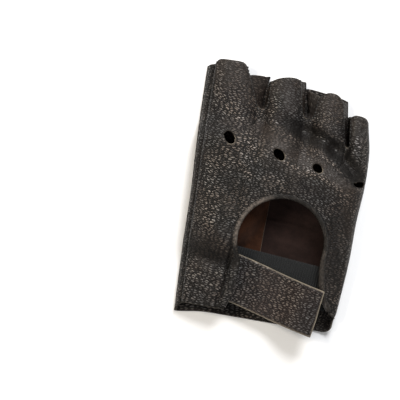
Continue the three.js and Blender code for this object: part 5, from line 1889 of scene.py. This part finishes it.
class GLOVE_OT_binding(bpy.types.Operator):
    """Build the binding that folds over the window's edge"""

    bl_idname = "glove.binding"
    bl_label = "Window Binding"

    def execute(self, context):
        colours = chosen_colours()
        line, across, away = binding_frames(150, 46)
        points = binding_rings(line, across, away)
        count, sides = points.shape[:2]
        flat = points.reshape(-1, 3)
        faces = closed_tube(numbered((count, sides)))
        if vertex_normals(flat, faces)[3::sides, 2].mean() < 0:
            faces = flipped(faces)
        # Rubbed pale where the arch turns down towards the thumb.
        turned = np.arctan2(line[:, 1] - WINDOW_Y, line[:, 0] - WINDOW_X)
        turned = np.degrees(np.where(turned < -math.pi / 2, turned + 2 * math.pi, turned))
        pale = ease(92, 125, turned) * (1 - ease(185, 205, turned)) * ease(0, 2, away)
        pale = np.maximum(pale, 0.5 * (turned < 0))
        wear = np.zeros((count, sides))
        wear[:, BINDING_FOLDED] = (0.1 + 0.9 * pale)[:, None]
        # The fold's crest is painted pale all along: a painted highlight line.
        wear[:, BINDING_CREST] = np.maximum(wear[:, BINDING_CREST], 0.5)
        calm = 0.6 * ease(1, 7, line[:, 1] - WINDOW_Y + 0.9 * WINDOW_RADIUS)
        # The outer fold's first two points are painted dark: painted shade in the crease beside the binding.
        seam = np.zeros((count, sides))
        seam[:, :2] = 0.8
        marks = {
            "wear": wear.reshape(-1), "calm": np.repeat(calm, sides), "seam": seam.reshape(-1),
            **laid_flat(points, 0),
        }
        strip = leather(
            "binding leather", colours.binding, rgba(colours.binding, 0.7), rgba(colours.wear_and_glint, 1.45),
            1.35, 0.26, 0.36, edge_wear=0.8, fold_wear=0.0, uneven=0.35, smooth=0.0,
        )
        kinds = np.zeros(len(faces), int)
        piece = new_piece("window_binding_leather", flat, faces, kinds, marks, (strip,), sharp=70)
        fit(piece, "binding_leather", "window_binding")
        return {"FINISHED"}


# The elastic and the tab


def turned_place(along, across, start, turn, origin):
    u = along - start
    c, s = math.cos(turn), math.sin(turn)
    return origin[0] * GLOVE_WIDTH + u * c - across * s, origin[1] * GLOVE_LENGTH + u * s + across * c


def tab_place(along, across):
    return turned_place(along, across, TAB_TUCK, TAB_TURN, TAB_ROOT)


def elastic_place(along, across):
    return turned_place(along, across, ELASTIC_LENGTH / 2, ELASTIC[2], ELASTIC[:2])


STATION_STEP = 0.8  # vertices nearer than this along a flat solid belong to one station, mm


def node_levels(node, place, slant=0.0, width=1.0):
    """Height of a flat solid's top face along its length, so that the fine mesh lies where the solid does.
    slant is how much of each step along is lost across."""
    vertices = np.array([v.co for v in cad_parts[node].data.vertices]) / MM - SHIFT
    origin = np.array(place(0, 0))
    ahead = np.array(place(1, 0)) - origin
    away = vertices[:, :2] - origin
    across = away @ np.array([-ahead[1], ahead[0]])
    along = (away @ ahead) / (1 - slant * (0.3 + across / width))
    groups = []
    for value in np.unique(np.round(along, 1)):
        if not groups or value - groups[-1] > STATION_STEP:
            groups.append(value)
    tops = [vertices[np.abs(along - g) < STATION_STEP][:, 2].max() for g in groups]
    return lambda value: np.interp(value, groups, tops)


def flat_sheet(x, y, z):
    """Points of a grid, and its faces."""
    return np.stack([x, y, z], axis=2).reshape(-1, 3), turned_quads(numbered(x.shape))


KNIT_SUNK = 0.42  # the band lies this far inside the solid's faces, and the ribs' middles run there


def rib_lines(level, pitch):
    """Paths across both faces of the band."""
    count = int(ELASTIC_LENGTH / pitch)
    steps = np.linspace(-0.5, 0.5, 26) * (ELASTIC_WIDTH - 0.2)
    middle = ELASTIC_LENGTH / 2
    paths = []
    for k, station in enumerate((np.arange(count) + 0.5) * ELASTIC_LENGTH / count):
        wobble = 0.1 * np.sin(steps * 1.9 + k) + 0.08 * lattice_noise(steps, steps * 0 + k, 3, 71)
        along = station + wobble * min(1.0, (middle - abs(station - middle)) / 2)
        for shift in (-KNIT_SUNK, -ELASTIC_THICK + KNIT_SUNK):
            line = np.stack([*elastic_place(along, steps), level(along) + shift], axis=1)
            paths.append((line, upright(line)))
    return paths


class GLOVE_OT_elastic(bpy.types.Operator):
    """Build the ribbed knit elastic across the slit"""

    bl_idname = "glove.elastic"
    bl_label = "Wrist Elastic"

    def execute(self, context):
        colour = chosen_colours().knit
        level = node_levels("wrist_elastic", elastic_place)
        along = np.linspace(0, ELASTIC_LENGTH, 67)
        across = np.linspace(-0.5, 0.5, 25) * ELASTIC_WIDTH
        u, v = np.meshgrid(along, across, indexing="ij")
        points, faces = flat_sheet(*elastic_place(u, v), level(u) - KNIT_SUNK)
        band = closed_sheet(points, faces, ELASTIC_THICK - 2 * KNIT_SUNK, rounding=0.1)
        yarn = knit("ribbed knit", colour, rgba(colour, 2.4))
        # The band under the ribs is a darker copy of the knit: painted shade between the ribs.
        ground = knit("knit ground", rgba(colour, 0.15), rgba(colour, 0.5))
        body = new_piece("wrist_elastic_knit", *band, (ground, ground, ground))

        rib_pitch = chosen_sizes().rib_pitch
        looks = {"Rib radius": rib_pitch * 0.27, "Material": yarn}
        paths = rib_lines(level, rib_pitch / MM)
        ribs = grown_piece("wrist_elastic_ribs", "knitted_elastic", paths, rib_tree("Knit ribs"), looks)
        fit(body, "knitted_elastic", "wrist_elastic")
        return {"FINISHED"}


def tab_height(u, v):
    level = node_levels("closing_tab", tab_place, TAB_SLANT / TAB_LENGTH, TAB_WIDTH)
    wave = 0.16 * lattice_noise(u, v, 13, 81) + 0.07 * lattice_noise(u, v, 5, 82)
    curl = -0.5 * ease(0.72, 1.0, u / TAB_LENGTH) * (2 * v / TAB_WIDTH) ** 2
    return level(u) + wave - 0.2 + curl


def tab_slant(u, v):
    return TAB_SLANT * u / TAB_LENGTH * (0.3 + v / TAB_WIDTH)


class GLOVE_OT_tab(bpy.types.Operator):
    """Build the closing tab, two leathers with raw edges"""

    bl_idname = "glove.tab"
    bl_label = "Closing Tab"

    def execute(self, context):
        colours = chosen_colours()
        along = spaced(100, 0.3) * TAB_LENGTH
        across = (spaced(46, 0.45) - 0.5) * (TAB_WIDTH - 0.7)
        u, v = np.meshgrid(along, across, indexing="ij")
        bow = 0.35 * np.sin(math.pi * v / TAB_WIDTH + 0.4) * ease(0.8, 1, u / TAB_LENGTH)
        x, y = tab_place(u - tab_slant(u, v) - np.abs(bow), v + 0.25 * np.sin(u / 9))
        points, faces = flat_sheet(x, y, tab_height(u, v))
        solid = closed_sheet(points, faces, TAB_THICK, rim=TWO_LAYERS, rounding=0.35)
        top = leather(
            "tab leather", colours.tab, rgba(colours.tab, 1.45), colours.wear_and_glint, 1.35, 0.28, 0.4,
            edge_wear=0.9, uneven=0.3, turn=-0.1, smooth=0.25,
        )
        piece = new_piece("closing_tab_leather", *solid, walls(top))
        fit(piece, "tab_leather", "closing_tab")
        return {"FINISHED"}


# Stitches and pinholes


class GLOVE_OT_stitches(bpy.types.Operator):
    """Sew the seams along the thumb side and round the forks, the binding and the tab"""

    bl_idname = "glove.stitches"
    bl_label = "Stitches"

    def execute(self, context):
        colour = chosen_colours().thread
        back, palm = back_grid(), palm_grid()

        def on_grid(grid, rows, columns):
            ids = grid["grid"][rows, columns]
            points, normals = grid["points"][ids], grid["normals"][ids]
            if grid is back:
                return resampled(drawn_in(points) - normals * 0.08, normals)
            return resampled(points - normals * 0.29, normals)

        # Along the thumb side, a little way in from the edge, and round each fork.
        last = len(back["grid"]) - 1
        seams = [on_grid(grid, np.arange(2, last), 3) for grid in (back, palm)]
        for grid in (back, palm):
            for f in range(3):
                right, left = fork_sides(grid, f)
                right, left = right - 2, left + 2
                up = list(range(LAST_BODY_ROW, last))
                rows = up[::-1] + [LAST_BODY_ROW - 2] * (left - right - 1) + up
                columns = [right] * len(up) + list(range(right + 1, left)) + [left] * len(up)
                seams.append(on_grid(grid, rows, columns))
        stitched("seam_stitches", "back_leather", seams, thread("sewing thread", colour, rgba(colour, 2.6)))

        line, across, _ = binding_frames(120, 36)
        x, y = out_from_window(line, across, line[:, 2] - 0.55)
        row = np.stack([x, y, back_height(x, y) + BINDING_LIFT + BINDING_THICK + 0.02], axis=1)[2:-2]
        stitched("binding_stitches", "binding_leather", [resampled(row, upright(row))], dark_thread())

        inset = 1.7
        half, start, end = TAB_WIDTH / 2 - inset, TAB_TUCK + 2, TAB_LENGTH - inset
        corners = np.array([(start, half), (end, half), (end, -half), (start, -half)])
        shares = np.linspace(0, 1, 60)[:-1, None]
        u, v = np.concatenate([mix(a, b, shares) for a, b in zip(corners, corners[1:])]).T
        row = np.stack([*tab_place(u - tab_slant(u, v), v), tab_height(u, v) - 0.06], axis=1)
        stitched("tab_stitches", "tab_leather", [resampled(row, upright(row))], dark_thread())
        return {"FINISHED"}


class GLOVE_OT_pinholes(bpy.types.Operator):
    """Lay a flat dark disc at each of the back's pinholes: painted shade where the hole would be"""

    bl_idname = "glove.pinholes"
    bl_label = "Pinholes"

    def execute(self, context):
        grid = back_grid()
        tree = nearest_tree(grid["points"] * (1, 1, 0))
        paths = []
        for x, y in PINHOLES:
            k = tree.find((x, y, 0))[1]
            up = grid["normals"][k]
            start = grid["points"][k] + up * 0.02
            paths.append((np.array([start, start + up * 0.004]), np.array([up, up])))
        # The discs are painted shade standing in for the holes.
        tones = (0.003, 0.0025, 0.002), (0.012, 0.01, 0.008)
        dark = speckled("pinhole dark", 4000.0, *tones, {"Roughness": 0.95})
        looks = {"Width": chosen_sizes().pinhole, "Material": dark}
        grown_piece("pinholes", "back_leather", paths, disc_tree("Pinhole discs"), looks)
        return {"FINISHED"}


# The picture


PICTURE_TURN = math.radians(10)  # the glove lies turned by this much in the picture
PICTURE_PIXELS = 400
MM_PER_PIXEL = 0.6
GLOVE_PIXEL = (272.0, 200.0)  # where the point below shows in the picture
GLOVE_POINT = (0.0, 73.0)
CAMERA_DISTANCE = 2.4
FLOOR_HALF = 3.0
# Name, place to the right, up and high over the glove, width, power and colour.
LAMPS = [
    ("key", 0.35, 0.75, 0.85, 0.55, 16.0, (0.97, 0.98, 1.0)),
    ("warm_fill", -0.65, 0.3, 0.9, 0.35, 7.5, (1.0, 0.92, 0.8)),
    ("front_fill", 0.1, -0.9, 0.9, 0.5, 3.0, (1.0, 1.0, 1.0)),
]


def in_picture(right, up):
    """The way on the floor that is so far right and up in the picture."""
    c, s = math.cos(PICTURE_TURN), math.sin(PICTURE_TURN)
    return right * c - up * s, right * s + up * c


class GLOVE_OT_stage(bpy.types.Operator):
    """Lay the floor and set the lights and the camera"""

    bl_idname = "glove.stage"
    bl_label = "Stage"

    def execute(self, context):
        scene = context.scene
        mesh = bpy.data.meshes.new("floor")
        corners = [(x * FLOOR_HALF, y * FLOOR_HALF, 0) for x, y in ((-1, -1), (1, -1), (1, 1), (-1, 1))]
        mesh.from_pydata(corners, [], [(0, 1, 2, 3)])
        looks = {"Roughness": 0.9, "Specular IOR Level": 0.1}
        mesh.materials.append(speckled("floor paper", 900.0, (0.93, 0.93, 0.93), (0.95, 0.95, 0.95), looks))
        floor = linked("floor", mesh)

        world = bpy.data.worlds.new("studio")
        world.use_nodes = True
        background = world.node_tree.nodes["Background"].inputs
        background[0].default_value = (1, 1, 1, 1)
        background[1].default_value = 0.2
        scene.world = world
        for name, right, up, height, width, power, colour in LAMPS:
            light = bpy.data.lights.new(name, "AREA")
            light.shape = "DISK"
            light.size = width
            light.energy = power
            light.color = colour
            lamp = linked(name, light)
            lamp.location = Vector((*in_picture(right, up), height))
            lamp.rotation_euler = (-lamp.location).to_track_quat("-Z", "Y").to_euler()

        middle = PICTURE_PIXELS / 2
        dx, dy = in_picture(middle - GLOVE_PIXEL[0], GLOVE_PIXEL[1] - middle)
        x = GLOVE_POINT[0] + MM_PER_PIXEL * dx + SHIFT[0]
        y = GLOVE_POINT[1] + MM_PER_PIXEL * dy + SHIFT[1]
        camera = bpy.data.cameras.new("camera")
        camera.sensor_fit = "HORIZONTAL"
        camera.sensor_width = 36
        camera.lens = 36 * CAMERA_DISTANCE / (PICTURE_PIXELS * MM_PER_PIXEL * MM)
        camera.clip_end = 20
        scene.camera = linked("camera", camera)
        scene.camera.location = (x * MM, y * MM, CAMERA_DISTANCE + 0.012)
        scene.camera.rotation_euler = (0, 0, PICTURE_TURN)
        scene.view_settings.view_transform = "Standard"
        scene.view_settings.look = "None"
        return {"FINISHED"}


class GLOVE_PT_panel(bpy.types.Panel):
    """Sizes, colours and steps of the glove"""

    bl_label = "Fingerless Glove"
    bl_idname = "GLOVE_PT_panel"
    bl_space_type = "VIEW_3D"
    bl_region_type = "UI"
    bl_category = "Glove"

    def draw(self, context):
        layout = self.layout
        for group in (chosen_sizes(), chosen_colours()):
            box = layout.box()
            for key in group.__annotations__:
                box.prop(group, key)
        for operator in OPERATORS:
            layout.operator(operator.bl_idname)


OPERATORS = (
    GLOVE_OT_back,
    GLOVE_OT_palm,
    GLOVE_OT_strips,
    GLOVE_OT_thumb,
    GLOVE_OT_binding,
    GLOVE_OT_elastic,
    GLOVE_OT_tab,
    GLOVE_OT_stitches,
    GLOVE_OT_pinholes,
    GLOVE_OT_stage,
)
CLASSES = (GloveSizes, GloveColours, *OPERATORS, GLOVE_PT_panel)


def register():
    for cls in CLASSES:
        bpy.utils.register_class(cls)
    bpy.types.Scene.glove_sizes = bpy.props.PointerProperty(type=GloveSizes)
    bpy.types.Scene.glove_colours = bpy.props.PointerProperty(type=GloveColours)


def unregister():
    del bpy.types.Scene.glove_colours
    del bpy.types.Scene.glove_sizes
    for cls in reversed(CLASSES):
        bpy.utils.unregister_class(cls)


def main():
    register()
    bpy.ops.glove.back()
    bpy.ops.glove.palm()
    bpy.ops.glove.strips()
    bpy.ops.glove.thumb()
    bpy.ops.glove.binding()
    bpy.ops.glove.elastic()
    bpy.ops.glove.tab()
    bpy.ops.glove.stitches()
    bpy.ops.glove.pinholes()
    bpy.ops.glove.stage()


if __name__ == "__main__":
    main()
